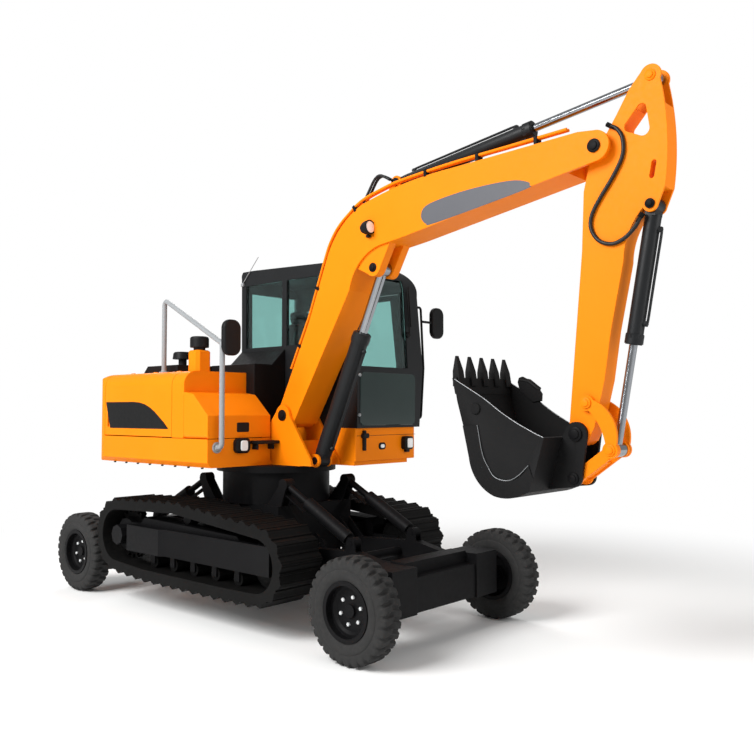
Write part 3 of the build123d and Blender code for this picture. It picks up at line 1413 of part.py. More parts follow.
# Seat: a pedestal, a cushion and a back in one piece; console: a box with two levers.
cab_floor = CAB_LOW_Z + CAB_WALL + SEAT
with BuildPart() as cab_seat:
    with BuildSketch(side(SEAT_Y)):
        with BuildLine():
            Polyline(
                (SEAT_X - 180, cab_floor),
                (SEAT_X + 160, cab_floor),
                (SEAT_X + 130, cab_floor + 330),
                (SEAT_X + 260, cab_floor + 360),
                (SEAT_X + 260, cab_floor + 470),
                (SEAT_X - 150, cab_floor + 460),
                (SEAT_X - 250, cab_floor + 1080),
                (SEAT_X - 340, cab_floor + 1060),
                (SEAT_X - 240, cab_floor + 340),
                (SEAT_X - 160, cab_floor + 330),
                close=True,
            )
        make_face()
    extrude(amount=250, both=True)
write(cab_seat, "cab_seat")

with BuildPart() as cab_console:
    for console_y in (220, 860):
        with Locations((SEAT_X + 130, console_y, cab_floor + 270)):
            Box(420, 90, 540)
        with Locations((SEAT_X + 260, console_y, cab_floor + 620)):
            Cylinder(18, 200)
write(cab_console, "cab_console")


def left_wall_y(z):
    """Where the cab's left wall stands at height z."""
    if z < CAB_WAIST_Z:
        share = (z - CAB_LOW_Z) / (CAB_WAIST_Z - CAB_LOW_Z)
        return CAB_LEFT_Y + share * (CAB_WAIST_Y - CAB_LEFT_Y)
    share = (z - CAB_WAIST_Z) / (CAB_SHOULDER_Z - CAB_WAIST_Z)
    return CAB_WAIST_Y + share * (CAB_SHOULDER_Y - CAB_WAIST_Y)


with BuildPart() as left_rail:
    add(
        tube(
            [
                (GRAB_X, left_wall_y(GRAB_TOP_Z - GRAB_R) + SEAT, GRAB_TOP_Z),
                (GRAB_X, GRAB_Y - 18, GRAB_TOP_Z),
                (GRAB_X + 20, GRAB_Y, CAB_WAIST_Z),
                (GRAB_X, GRAB_Y - 18, GRAB_LOW_Z),
                (GRAB_X, left_wall_y(GRAB_LOW_Z + GRAB_R) + SEAT, GRAB_LOW_Z),
            ],
            28,
            GRAB_R,
        )
    )
write(left_rail, "left_rail")

with BuildPart() as left_mirror:
    with BuildSketch(Plane.YZ.offset(GRAB_X - MIRROR_T / 2)):
        with Locations((MIRROR_Y, MIRROR_Z)):
            RectangleRounded(MIRROR_W, MIRROR_H, MIRROR_R)
    extrude(amount=MIRROR_T)
    fillet(left_mirror.edges(), radius=MIRROR_T / 3)
    grab_share = (MIRROR_Z - CAB_WAIST_Z) / (GRAB_TOP_Z - CAB_WAIST_Z)
    stem_near = GRAB_Y - 18 * grab_share + GRAB_R + SEAT
    with Locations((GRAB_X, (stem_near + MIRROR_Y - 85) / 2, MIRROR_Z)):
        Box(22, MIRROR_Y - 85 - stem_near, 22)
write(left_mirror, "left_mirror")

with BuildPart() as roof_beacon:
    roof_fall = (ROOF_RIGHT_Z - ROOF_LEFT_Z) / (ROOF_LEFT_Y - CAB_RIGHT_Y)
    beacon_low = ROOF_RIGHT_Z - (BEACON_Y - BEACON_R - CAB_RIGHT_Y) * roof_fall
    with BuildSketch(Plane.XY.offset(beacon_low + SEAT)):
        with Locations((BEACON_X, BEACON_Y)):
            Circle(BEACON_R)
    extrude(amount=110)
write(roof_beacon, "roof_beacon")

with BuildPart() as work_lamps:
    with Locations((TANK_FRONT_X + SEAT + 26, -628, 1551)):
        Box(52, 170, 140)
    for lamp_y in (260, 900):
        with Locations((CAB_BASE_FRONT_X + SEAT + 26, lamp_y, 1551)):
            Box(52, 170, 120)
write(work_lamps, "work_lamps")

# Boom: one hooked box with a fork at its tip.
with BuildPart() as boom:
    with BuildSketch(side(TOOL_Y)):
        with BuildLine():
            Polyline((480, 1750), (285, 1880), (690, 2685), (915, 3225))
            ThreePointArc((915, 3225), (1075, 3480), (1345, 3663))
            ThreePointArc((1345, 3663), (1790, 3757), (2310, 3797))
            Polyline(
                (2310, 3797),
                (3420, 3838),
                (TIP_X, TIP_Z + TIP_BOSS_R),
                (TIP_X + 15, TIP_Z - TIP_BOSS_R + 2),
                (1830, 3320),
                (1560, 3285),
            )
            ThreePointArc((1560, 3285), (1360, 3195), (1200, 2930))
            Line((1200, 2930), (480, 1750))
        make_face()
        with Locations((FOOT_X, FOOT_Z)):
            Circle(FOOT_BOSS_R)
        with Locations((TIP_X, TIP_Z)):
            Circle(TIP_BOSS_R)
            Circle(TIP_PIN_R + PIN_FIT, mode=Mode.SUBTRACT)
    extrude(amount=BOOM_HALF, both=True)
    with Locations((FORK_X + 300, TOOL_Y, TIP_Z)):
        Box(600, 2 * FORK_HALF, 600, mode=Mode.SUBTRACT)
    with BuildSketch(side(TOOL_Y)):
        with Locations((FOOT_X, FOOT_Z)):
            Circle(FOOT_PIN_R)
    extrude(amount=BRACKET_IN + BRACKET_T + 4, both=True)
    # Lugs below the bend, for the boom cylinder's rod.
    with BuildSketch(*twin(TOOL_Y, BOOM_LUG_IN + BOOM_LUG_T / 2)):
        with BuildLine():
            Polyline(
                (1290, 3110),
                (BOOM_EYE_X - 50, BOOM_EYE_Z - 55),
                (BOOM_EYE_X + 70, BOOM_EYE_Z - 30),
                (1660, 3310),
                (1400, 3300),
                close=True,
            )
        make_face()
        with Locations((BOOM_EYE_X, BOOM_EYE_Z)):
            Circle(75)
    extrude(amount=BOOM_LUG_T / 2, both=True)
    # Ears on top, for the foot of the arm cylinder.
    with BuildSketch(*twin(TOOL_Y, ARM_EAR_IN + ARM_EAR_T / 2)):
        with BuildLine():
            Polyline(
                (ARM_CYL_X - 110, 3690),
                (ARM_CYL_X - 40, ARM_CYL_Z + 40),
                (ARM_CYL_X + 50, ARM_CYL_Z),
                (ARM_CYL_X + 52, 3710),
                close=True,
            )
        make_face()
        with Locations((ARM_CYL_X, ARM_CYL_Z)):
            Circle(STICK_EYE_R)
            Circle(ARM_CYL_PIN_R + PIN_FIT, mode=Mode.SUBTRACT)
    extrude(amount=ARM_EAR_T / 2, both=True)
write(boom, "boom")

# Stick: a deep arm with a forked head, a pocket for the bucket cylinder and a boss below.
arm_eye = (ARM_EYE_X, TIP_Z + ARM_EYE_RISE)
bucket_pin = (BUCKET_X, BUCKET_Z)
bucket_cyl_foot = (BUCKET_CYL_X, BUCKET_CYL_Z)


def beyond(point, ahead, up):
    """The point moved ahead and up."""
    return (point[0] + ahead, point[1] + up)


with BuildPart() as stick:
    with BuildSketch(side(TOOL_Y)):
        with BuildLine():
            Polyline(
                beyond(bucket_pin, 75, -52),
                beyond(bucket_pin, -50, -52),
                beyond(bucket_pin, -66, 68),
                (3357, 2447),
                (3406, 3003),
                (3424, 3425),
                (TIP_X - 52, TIP_Z - 5),
                (TIP_X + 55, TIP_Z + 87),
                beyond(arm_eye, -250, -224),
                beyond(arm_eye, -152, -62),
                beyond(arm_eye, -64, 38),
                beyond(arm_eye, 62, -8),
            )
            ThreePointArc(
                beyond(arm_eye, 62, -8),
                beyond(bucket_cyl_foot, 125, 440),
                beyond(bucket_cyl_foot, 105, 110),
            )
            Polyline(
                beyond(bucket_cyl_foot, 105, 110),
                beyond(bucket_cyl_foot, 50, -20),
                beyond(bucket_cyl_foot, -44, -13),
            )
            ThreePointArc(beyond(bucket_cyl_foot, -44, -13), (3766, 3110), (3716, 2900))
            Polyline(
                (3716, 2900),
                (3618, 2430),
                (3566, 2089),
                (3540, 1985),
                beyond(bucket_pin, 125, 48),
                beyond(bucket_pin, 75, -52),
            )
        make_face()
        with Locations(arm_eye):
            Circle(HEAD_EYE_R)
        with Locations(bucket_pin):
            Circle(STICK_BOSS_R)
            Circle(BUCKET_PIN_R + PIN_FIT, mode=Mode.SUBTRACT)
        with Locations((ROCKER_X, ROCKER_Z)):
            Circle(SMALL_PIN_R + PIN_FIT, mode=Mode.SUBTRACT)
        with Locations(bucket_cyl_foot):
            Circle(STICK_EYE_R)
            Circle(BUCKET_CYL_PIN_R + PIN_FIT, mode=Mode.SUBTRACT)
    extrude(amount=STICK_HALF, both=True)
    pocket_half = STICK_HALF - STICK_PLATE
    with BuildSketch(side(TOOL_Y)):
        with Locations(arm_eye):
            Circle(HEAD_POCKET_R)
        with BuildLine():
            Polyline(
                beyond(bucket_cyl_foot, -84, 100),
                beyond(bucket_cyl_foot, -84, 13),
                (3729, 2650),
                (4200, 2650),
                (4200, BUCKET_CYL_Z + 100),
                close=True,
            )
        make_face()
    extrude(amount=pocket_half, both=True, mode=Mode.SUBTRACT)
    # The round-cornered window through the head, and the slot below it.
    with BuildSketch(side(TOOL_Y)):
        for ahead, up, corner_r in ((-65, -212, 34), (-55, -356, 45), (-151, -316, 38)):
            with Locations(beyond(arm_eye, ahead, up)):
                Circle(corner_r)
        make_hull()
    extrude(amount=STICK_HALF, both=True, mode=Mode.SUBTRACT)
    with BuildSketch(side(TOOL_Y)):
        with Locations(beyond(bucket_cyl_foot, 22, 230)):
            SlotOverall(125, 34, rotation=79)
    extrude(amount=STICK_HALF, both=True, mode=Mode.SUBTRACT)
    with BuildSketch(side(TOOL_Y)):
        with Locations(bucket_pin):
            Circle(STICK_BOSS_R)
            Circle(BUCKET_PIN_R + PIN_FIT, mode=Mode.SUBTRACT)
    extrude(amount=STICK_BOSS_HALF, both=True)
    # The boss that fills the boom's fork, and its pin.
    with BuildSketch(side(TOOL_Y)):
        with Locations((TIP_X, TIP_Z)):
            Circle(TIP_BOSS_R - 15)
    extrude(amount=STICK_FOOT_HALF, both=True)
    with BuildSketch(side(TOOL_Y)):
        with Locations((TIP_X, TIP_Z)):
            Circle(TIP_PIN_R)
    extrude(amount=BOOM_HALF + 4, both=True)
write(stick, "stick")

# Rocker: two crescents outside the stick, on one pin through it.
join_off = (JOIN_X - ROCKER_X, JOIN_Z - ROCKER_Z)
join_len = math.hypot(*join_off)
out_x = -join_off[1] / join_len
out_z = join_off[0] / join_len
rocker_mid = ((ROCKER_X + JOIN_X) / 2, (ROCKER_Z + JOIN_Z) / 2)
rocker_off = ROCKER_IN + ROCKER_T / 2


def beside(point, distance):
    """The point moved out from the rocker's line by distance."""
    return (point[0] + out_x * distance, point[1] + out_z * distance)


rocker_pin = (ROCKER_X, ROCKER_Z)
join_pin = (JOIN_X, JOIN_Z)
with BuildPart() as rocker:
    with BuildSketch(*twin(TOOL_Y, rocker_off)):
        with BuildLine():
            ThreePointArc(
                beside(rocker_pin, ROCKER_END_R - 8),
                beside(rocker_mid, ROCKER_BULGE),
                beside(join_pin, ROCKER_END_R - 8),
            )
            Line(beside(join_pin, ROCKER_END_R - 8), beside(join_pin, -30))
            ThreePointArc(
                beside(join_pin, -30),
                beside(rocker_mid, 12),
                beside(rocker_pin, -30),
            )
            Line(beside(rocker_pin, -30), beside(rocker_pin, ROCKER_END_R - 8))
        make_face()
        with Locations(rocker_pin, join_pin):
            Circle(ROCKER_END_R)
    extrude(amount=ROCKER_T / 2, both=True)
    with BuildSketch(side(TOOL_Y)):
        with Locations(rocker_pin):
            Circle(SMALL_PIN_R)
    extrude(amount=ROCKER_IN + ROCKER_T + 4, both=True)
    for place, inner in ((rocker_pin, STICK_HALF + 4), (join_pin, LINK_HALF + 5)):
        with BuildSketch(*twin(TOOL_Y, (inner + ROCKER_IN + 5) / 2)):
            with Locations(place):
                Circle(ROCKER_END_R - 10)
        extrude(amount=(ROCKER_IN + 5 - inner) / 2, both=True)
write(rocker, "rocker")

# Link: two bars and a web, pinned through the bucket's ears.
link_pin = (LINK_X, LINK_Z)
link_along = (JOIN_X - LINK_X, JOIN_Z - LINK_Z)
link_len = math.hypot(*link_along)
with BuildPart() as link:
    link_square = slanted(link_pin, join_pin, TOOL_Y)
    with BuildSketch(*twin(TOOL_Y, LINK_HALF - LINK_BAR / 2)):
        with Locations(link_pin, join_pin):
            Circle(LINK_END_R)
    extrude(amount=LINK_BAR / 2, both=True)
    with BuildSketch(link_square):
        for edge in (-1, 1):
            with Locations((edge * (LINK_HALF - LINK_BAR / 2), 0)):
                Rectangle(LINK_BAR, 84)
    extrude(amount=link_len)
    with BuildSketch(link_square.offset(40)):
        Rectangle(2 * LINK_HALF - 4, 60)
    extrude(amount=link_len - 150)
    with BuildSketch(side(TOOL_Y)):
        with Locations(link_pin):
            Circle(SMALL_PIN_R)
    extrude(amount=EAR_IN + EAR_T + 4, both=True)
write(link, "link")

# Bucket: a curved wrapper between two side plates, two ears, a lip and its teeth.
LIP = (2490, 2116)
BACK_LOW = (2632, 1531)
SOLE = (2850, 1262)
HEEL = (3062, 1276)
BACK_END = (3140, 1307)
SHOULDER = (3256, 1688)
TOOTH_BASE = (2507, 2062)
TOOTH_TIP = (2485, 2289)


def bucket_outline(*mouth):
    """The bucket's side outline: its round back, closed through the mouth's points."""
    with BuildSketch() as outline:
        with BuildLine():
            Polyline(*mouth, (2523, 1945), (2577, 1764), BACK_LOW)
            ThreePointArc(BACK_LOW, (2712, 1355), SOLE)
            ThreePointArc(SOLE, (2960, 1253), HEEL)
            Polyline(HEEL, BACK_END, mouth[0])
        make_face()
    return outline.face()


with BuildPart() as bucket:
    with BuildSketch(side(TOOL_Y)):
        add(bucket_outline(SHOULDER, LIP))
    extrude(amount=BUCKET_HALF, both=True)
    with BuildSketch(side(TOOL_Y)):
        add(bucket_outline((3283, 1763), (2475, 2195)))
        offset(amount=-BUCKET_PLATE, kind=Kind.INTERSECTION)
    extrude(amount=BUCKET_HALF - BUCKET_PLATE, both=True, mode=Mode.SUBTRACT)
    # The mouth's edge dips in along both side plates.
    with BuildSketch(side(TOOL_Y)):
        with BuildLine():
            Polyline(SHOULDER, (3300, 2300), (2602, 2300), (2602, 2101))
            ThreePointArc((2602, 2101), (2862, 1894), SHOULDER)
        make_face()
    extrude(amount=BUCKET_HALF, both=True, mode=Mode.SUBTRACT)
    with BuildSketch(*twin(TOOL_Y, EAR_IN + EAR_T / 2)):
        with Locations(bucket_pin):
            Circle(STICK_BOSS_R)
        with Locations(link_pin):
            Circle(62)
        with Locations((3150, 1325), (3243, 1640)):
            Circle(10)
        make_hull()
        with Locations(link_pin):
            Circle(SMALL_PIN_R + PIN_FIT, mode=Mode.SUBTRACT)
    extrude(amount=EAR_T / 2, both=True)
    with BuildSketch(side(TOOL_Y)):
        with Locations(bucket_pin):
            Circle(BUCKET_PIN_R)
    extrude(amount=EAR_IN + EAR_T + 6, both=True)
    # A wear strip round the back of each side plate.
    with BuildSketch(*twin(TOOL_Y, BUCKET_HALF + WEAR_PLATE / 2)):
        with BuildLine():
            Line((2577, 1764), BACK_LOW)
            ThreePointArc(BACK_LOW, (2712, 1355), SOLE)
            ThreePointArc(SOLE, (2960, 1253), HEEL)
            Polyline(HEEL, BACK_END, (3170, 1406), (3136, 1495))
            ThreePointArc((3136, 1495), (2965, 1378), (2800, 1470))
            Polyline((2800, 1470), (2750, 1570), (2708, 1770), (2577, 1764))
        make_face()
    extrude(amount=WEAR_PLATE / 2, both=True)
    # The lip plate and the tapered teeth.
    with BuildSketch(side(TOOL_Y)):
        with BuildLine():
            Polyline((2478, 2120), (2504, 2000), (2534, 2005), (2516, 2125), close=True)
        make_face()
    extrude(amount=BUCKET_HALF, both=True)
    for index in range(TOOTH_COUNT):
        tooth_y = TOOL_Y + TOOTH_SPREAD * (2 * index / (TOOTH_COUNT - 1) - 1)
        tooth_root = slanted(TOOTH_BASE, TOOTH_TIP, tooth_y)
        with BuildSketch(tooth_root):
            Rectangle(TOOTH_W, TOOTH_H)
        with BuildSketch(tooth_root.offset(TOOTH_LEN / 2)):
            Rectangle(0.9 * TOOTH_W, 0.8 * TOOTH_H)
        with BuildSketch(tooth_root.offset(TOOTH_LEN)):
            Rectangle(TOOTH_TIP_W, TOOTH_TIP_H)
        loft(ruled=True)
write(bucket, "bucket")

# The boom, arm and bucket cylinders.
tool_cylinders = (
    # name, foot, eye, barrel and rod radius, head and rod's length inside, foot and pin sizes
    (
        "boom",
        (BOOM_CYL_X, BOOM_CYL_Z),
        (BOOM_EYE_X, BOOM_EYE_Z),
        (BOOM_BARREL_R, BOOM_ROD_R),
        (BOOM_HEAD, BOOM_ROD_IN),
        (60, 58, BOOM_CYL_PIN_R, BOOM_EAR_IN + BOOM_EAR_T + 4, BOOM_LUG_IN - 3),
    ),
    (
        "arm",
        (ARM_CYL_X, ARM_CYL_Z),
        arm_eye,
        (ARM_BARREL_R, ARM_ROD_R),
        (ARM_HEAD, ARM_ROD_IN),
        (50, ARM_EAR_IN - 1, ARM_CYL_PIN_R, ARM_EAR_IN + ARM_EAR_T + 4, pocket_half - 3),
    ),
    (
        "bucket",
        (BUCKET_CYL_X, BUCKET_CYL_Z),
        (JOIN_X, JOIN_Z),
        (BUCKET_BARREL_R, BUCKET_ROD_R),
        (BUCKET_HEAD, BUCKET_ROD_IN),
        (50, BUCKET_FOOT_HALF, BUCKET_CYL_PIN_R, STICK_HALF + 4, LINK_HALF - LINK_BAR - 4),
    ),
)
for name, foot, eye, bore, lengths, pins in tool_cylinders:
    rod = write_cylinder(name, foot, eye, TOOL_Y, bore, lengths, pins)
    write(rod, f"{name}_rod")
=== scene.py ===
"""Looks of a compact excavator on crawler tracks with four road wheels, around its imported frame.

Every measure is in metres. Layout places are measured ahead of the slew axis, to its left and up
from the floor, and spot() moves them into the row frame.
"""

import json
import logging
import math
from dataclasses import dataclass
from enum import Enum

import bmesh
import bpy
import numpy as np
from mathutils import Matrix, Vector

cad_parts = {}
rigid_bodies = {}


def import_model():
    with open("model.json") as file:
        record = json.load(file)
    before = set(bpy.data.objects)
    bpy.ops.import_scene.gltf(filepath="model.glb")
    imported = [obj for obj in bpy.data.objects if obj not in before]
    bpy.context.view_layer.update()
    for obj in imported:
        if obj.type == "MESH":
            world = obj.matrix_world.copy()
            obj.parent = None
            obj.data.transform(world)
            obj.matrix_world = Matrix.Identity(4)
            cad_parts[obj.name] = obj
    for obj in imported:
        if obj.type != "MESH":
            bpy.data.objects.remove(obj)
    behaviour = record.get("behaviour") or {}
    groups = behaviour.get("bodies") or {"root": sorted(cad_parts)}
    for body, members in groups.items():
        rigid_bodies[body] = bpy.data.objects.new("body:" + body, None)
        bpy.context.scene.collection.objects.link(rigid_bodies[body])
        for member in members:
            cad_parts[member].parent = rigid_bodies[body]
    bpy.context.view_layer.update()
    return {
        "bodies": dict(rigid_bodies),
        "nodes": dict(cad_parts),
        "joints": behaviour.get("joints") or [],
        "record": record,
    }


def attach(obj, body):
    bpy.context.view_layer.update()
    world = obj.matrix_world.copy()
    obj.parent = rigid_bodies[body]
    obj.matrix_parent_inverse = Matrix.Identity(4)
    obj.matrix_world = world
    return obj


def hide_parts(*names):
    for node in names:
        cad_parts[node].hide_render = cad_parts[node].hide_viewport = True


log = logging.getLogger("excavator")

# Points and faces of a shape, before they become a mesh.
Shape = tuple[np.ndarray, list]
# A flat line: one pair of measures for each of its points.
Line = tuple[tuple[float, float], ...]

# The slew axis stands here in the row frame.
SLEW_X = -0.865
SLEW_Y = -0.205
# The boom, the stick and the bucket work in this plane, a little right of the slew axis.
TOOL_Y = -0.07

AHEAD = np.array([1.0, 0.0, 0.0])
LEFT = np.array([0.0, 1.0, 0.0])
UP = np.array([0.0, 0.0, 1.0])

# The frame's nodes by name, and the body that each of them rides on. main() fills both.
frame_nodes: dict = {}
node_body: dict = {}


def spot(x: float, y: float, z: float) -> np.ndarray:
    """Move a point of the slew-axis layout into the row frame.

    Args:
        x: metres ahead of the slew axis.
        y: metres to its left.
        z: metres above the floor.

    Returns:
        The point in the row frame.
    """
    return np.array([x + SLEW_X, y + SLEW_Y, z])


def linear(hex_colour: str) -> tuple[float, float, float, float]:
    """Turn an sRGB hex colour into linear light.

    Args:
        hex_colour: six hex digits after a hash mark.

    Returns:
        Red, green, blue and an alpha of one.
    """
    parts = [int(hex_colour[k:k + 2], 16) / 255 for k in (1, 3, 5)]
    light = [c / 12.92 if c <= 0.04045 else ((c + 0.055) / 1.055) ** 2.4 for c in parts]
    return (light[0], light[1], light[2], 1.0)


def add_node(
    tree: bpy.types.NodeTree, kind: str, inputs: dict | None = None, **settings: object
) -> bpy.types.Node:
    """Add one shader node with its settings and its inputs.

    Args:
        tree: the material's node tree.
        kind: the node's type name.
        inputs: a value or an output socket for each named or numbered input.
        settings: attributes of the node itself.

    Returns:
        The new node.
    """
    node = tree.nodes.new(kind)
    for name, value in settings.items():
        setattr(node, name, value)
    for key, value in (inputs or {}).items():
        socket = node.inputs[key]
        if isinstance(value, bpy.types.NodeSocket):
            tree.links.new(value, socket)
        else:
            socket.default_value = value
    return node


def blank_material(name: str) -> tuple[bpy.types.Material, bpy.types.NodeTree, bpy.types.NodeSocket]:
    """Start a node material that is empty but for the object's coordinates.

    Args:
        name: the material's name.

    Returns:
        The material, its node tree and the coordinates' socket.
    """
    material = bpy.data.materials.new(name)
    material.use_nodes = True
    tree = material.node_tree
    tree.nodes.clear()
    return material, tree, add_node(tree, "ShaderNodeTexCoord").outputs["Object"]


class Surface(Enum):
    """How a finish was made, which sets its fine relief."""

    SPRAYED = "sprayed"
    CAST = "cast"
    TURNED = "turned"
    MOULDED = "moulded"
    GRAINED = "grained"
    POLISHED = "polished"


# Cells in a metre of the two noises that all finishes share: tone drifts over about 455 mm, and
# dust and roughness come in spots about 36 mm across.
DRIFT_PER_M = 2.2
SPOTS_PER_M = 28.0
# The light end of the tone's drift is lifted by this much light, so that black shows it too.
TONE_LIFT = 0.004
# Dust lies fully where a surface looks up and by a quarter where it looks somewhat down.
DUST_NORMAL = (-0.4, 1.0)
DUST_SHARE = (0.25, 1.0)
DUST_PATCH = (0.42, 0.72)
# Between these levels of the spots the roughness goes from a little less to a little more.
SPOT_LEVELS = (0.3, 0.7)
LESS_ROUGH = 0.06
MORE_ROUGH = 0.08
LEAST_ROUGH = 0.02
# A wave's ridges lie 2 pi / 20 of its unit apart. A sixth of the grain's scale sets them about two
# grains apart, coarser than real turning marks, so that they show.
GRAINS_PER_WAVE = 6


@dataclass(frozen=True)
class Finish:
    """An opaque finish: a base colour with drifting tone, dust and fine relief."""

    name: str
    colour: str
    roughness: float = 0.4
    metallic: float = 0.0
    coat: float = 0.0
    gloss: float = 0.3
    surface: Surface = Surface.SPRAYED
    grain_mm: float = 6.0
    relief_mm: float = 0.05
    tone: float = 0.05
    dust: float = 0.0
    dust_colour: str = "#9C9080"

    def build(self) -> bpy.types.Material:
        """Make the node material, once for each finish.

        Returns:
            The material.
        """
        known = bpy.data.materials.get(self.name)
        if known:
            return known
        material, tree, place = blank_material(self.name)
        drift = add_node(
            tree, "ShaderNodeTexNoise", {"Vector": place, "Scale": DRIFT_PER_M, "Detail": 4.0}
        )
        spots = add_node(
            tree, "ShaderNodeTexNoise",
            {"Vector": place, "Scale": SPOTS_PER_M, "Detail": 5.0, "Roughness": 0.65},
        )
        base = linear(self.colour)
        light = tuple(min(c * (1 + self.tone) + TONE_LIFT, 1.0) for c in base[:3]) + (1.0,)
        dark = tuple(c * (1 - self.tone) for c in base[:3]) + (1.0,)
        toned = add_node(
            tree, "ShaderNodeMix", {"Factor": drift.outputs["Fac"], 6: dark, 7: light}, data_type="RGBA"
        )
        colour = toned.outputs[2]
        if self.dust > 0:
            colour = self.dusted(tree, colour, spots.outputs["Fac"])
        rough = add_node(
            tree, "ShaderNodeMapRange",
            {
                "Value": spots.outputs["Fac"], "From Min": SPOT_LEVELS[0], "From Max": SPOT_LEVELS[1],
                "To Min": max(self.roughness - LESS_ROUGH, LEAST_ROUGH),
                "To Max": min(self.roughness + MORE_ROUGH, 1.0),
            },
        )
        bump = add_node(
            tree, "ShaderNodeBump",
            {"Height": self.relief(tree, place), "Strength": 0.5, "Distance": self.relief_mm / 1000},
        )
        shader = add_node(
            tree, "ShaderNodeBsdfPrincipled",
            {
                "Base Color": colour, "Roughness": rough.outputs["Result"], "Metallic": self.metallic,
                "Coat Weight": self.coat, "Coat Roughness": 0.12, "Specular IOR Level": self.gloss,
                "Normal": bump.outputs["Normal"],
            },
        )
        add_node(tree, "ShaderNodeOutputMaterial", {"Surface": shader.outputs[0]})
        return material

    def dusted(
        self, tree: bpy.types.NodeTree, colour: bpy.types.NodeSocket, spots: bpy.types.NodeSocket
    ) -> bpy.types.NodeSocket:
        """Lay dust on the colour: by how far a surface looks up, times how deep a spot is.

        Args:
            tree: the material's node tree.
            colour: the clean colour.
            spots: the level of the spots.

        Returns:
            The dusty colour.
        """
        normal = add_node(tree, "ShaderNodeNewGeometry")
        split = add_node(tree, "ShaderNodeSeparateXYZ", {0: normal.outputs["Normal"]})
        upward = add_node(
            tree, "ShaderNodeMapRange",
            {
                "Value": split.outputs["Z"], "From Min": DUST_NORMAL[0], "From Max": DUST_NORMAL[1],
                "To Min": DUST_SHARE[0], "To Max": DUST_SHARE[1],
            },
        )
        patch = add_node(
            tree, "ShaderNodeMapRange",
            {"Value": spots, "From Min": DUST_PATCH[0], "From Max": DUST_PATCH[1]},
        )
        share = add_node(
            tree, "ShaderNodeMath", {0: upward.outputs["Result"], 1: patch.outputs["Result"]},
            operation="MULTIPLY",
        )
        amount = add_node(
            tree, "ShaderNodeMath", {0: share.outputs[0], 1: self.dust}, operation="MULTIPLY"
        )
        dusty = add_node(
            tree, "ShaderNodeMix",
            {"Factor": amount.outputs[0], 6: colour, 7: linear(self.dust_colour)}, data_type="RGBA",
        )
        return dusty.outputs[2]

    def relief(self, tree: bpy.types.NodeTree, place: bpy.types.NodeSocket) -> bpy.types.NodeSocket:
        """Make the fine relief that the way of making leaves.

        Args:
            tree: the material's node tree.
            place: the object coordinates.

        Returns:
            The relief's height.
        """
        scale = 1000 / self.grain_mm
        if self.surface is Surface.TURNED:
            wave = add_node(
                tree, "ShaderNodeTexWave",
                {"Vector": place, "Scale": scale / GRAINS_PER_WAVE, "Distortion": 1.5},
                bands_direction="Z",
            )
            return wave.outputs["Fac"]
        if self.surface in (Surface.GRAINED, Surface.CAST):
            cells = add_node(tree, "ShaderNodeTexVoronoi", {"Vector": place, "Scale": scale})
            return cells.outputs["Distance"]
        noise = add_node(
            tree, "ShaderNodeTexNoise", {"Vector": place, "Scale": scale, "Detail": 3.0}
        )
        return noise.outputs["Fac"]


@dataclass(frozen=True)
class Glazing:
    """Clear tinted glass, or a lamp's coloured cap."""

    name: str
    tint: str
    roughness: float = 0.02
    clear: float = 1.0
    # Haze comes in cells about 330 mm across and adds up to this much roughness.
    haze_per_m: float = 3.0
    haze: float = 0.05

    def build(self) -> bpy.types.Material:
        """Make the node material, once for each glazing.

        Returns:
            The material.
        """
        known = bpy.data.materials.get(self.name)
        if known:
            return known
        material, tree, place = blank_material(self.name)
        cells = add_node(
            tree, "ShaderNodeTexNoise", {"Vector": place, "Scale": self.haze_per_m, "Detail": 3.0}
        )
        rough = add_node(
            tree, "ShaderNodeMapRange",
            {"Value": cells.outputs["Fac"], "To Min": self.roughness, "To Max": self.roughness + self.haze},
        )
        shader = add_node(
            tree, "ShaderNodeBsdfPrincipled",
            {
                "Base Color": linear(self.tint), "Roughness": rough.outputs["Result"],
                "Transmission Weight": self.clear, "IOR": 1.45,
            },
        )
        add_node(tree, "ShaderNodeOutputMaterial", {"Surface": shader.outputs[0]})
        return material


# Two-pack machine enamel in orange: smooth, with a soft orange peel and a calm gloss.
ORANGE = Finish("orange_enamel", "#F58200", 0.46, gloss=0.09, relief_mm=0.04)
# Thin black chassis enamel: satin, uneven, with a little dust where it looks up.
CHASSIS = Finish("black_chassis_enamel", "#08080A", 0.52, gloss=0.10, tone=0.3, dust=0.008, grain_mm=9)
# Charcoal cab enamel: an even dark satin.
CAB_ENAMEL = Finish("charcoal_cab_enamel", "#121416", 0.42, gloss=0.25, tone=0.12)
# Black enamel of the digging tool: rubbed dull and dusty.
TOOL_PAINT = Finish("black_tool_enamel", "#0E0E0F", 0.55, gloss=0.12, tone=0.3, dust=0.012, grain_mm=12)
# Cast steel of the tracks: dark, coarse, dusty between its bars.
TRACK_STEEL = Finish(
    "cast_track_steel", "#070707", 0.6, gloss=0.09, surface=Surface.CAST, grain_mm=7, relief_mm=0.4,
    tone=0.3, dust=0.015,
)
# Hard chrome on the rods: ground bright, with fine marks round it.
ROD_CHROME = Finish(
    "hard_chrome", "#9A9DA1", 0.16, metallic=1.0, gloss=0.5, surface=Surface.TURNED, grain_mm=2,
    relief_mm=0.005, tone=0.03,
)
# Moulded tyre rubber: matt dark grey, greyed by dust.
RUBBER = Finish(
    "ribbed_tyre_rubber", "#2A2A2A", 0.85, gloss=0.2, surface=Surface.GRAINED, grain_mm=4, relief_mm=0.15,
    tone=0.25, dust=0.16, dust_colour="#6E6A66",
)
# Moulded hose rubber: smooth and black, with a dull shine.
HOSE_RUBBER = Finish(
    "hose_rubber", "#0D0D0E", 0.45, gloss=0.35, surface=Surface.MOULDED, grain_mm=3, tone=0.1
)
# Silver enamel on the handrail's tube: an even satin.
RAIL_SILVER = Finish("silver_tube_enamel", "#8F9294", 0.38, gloss=0.4, tone=0.06)
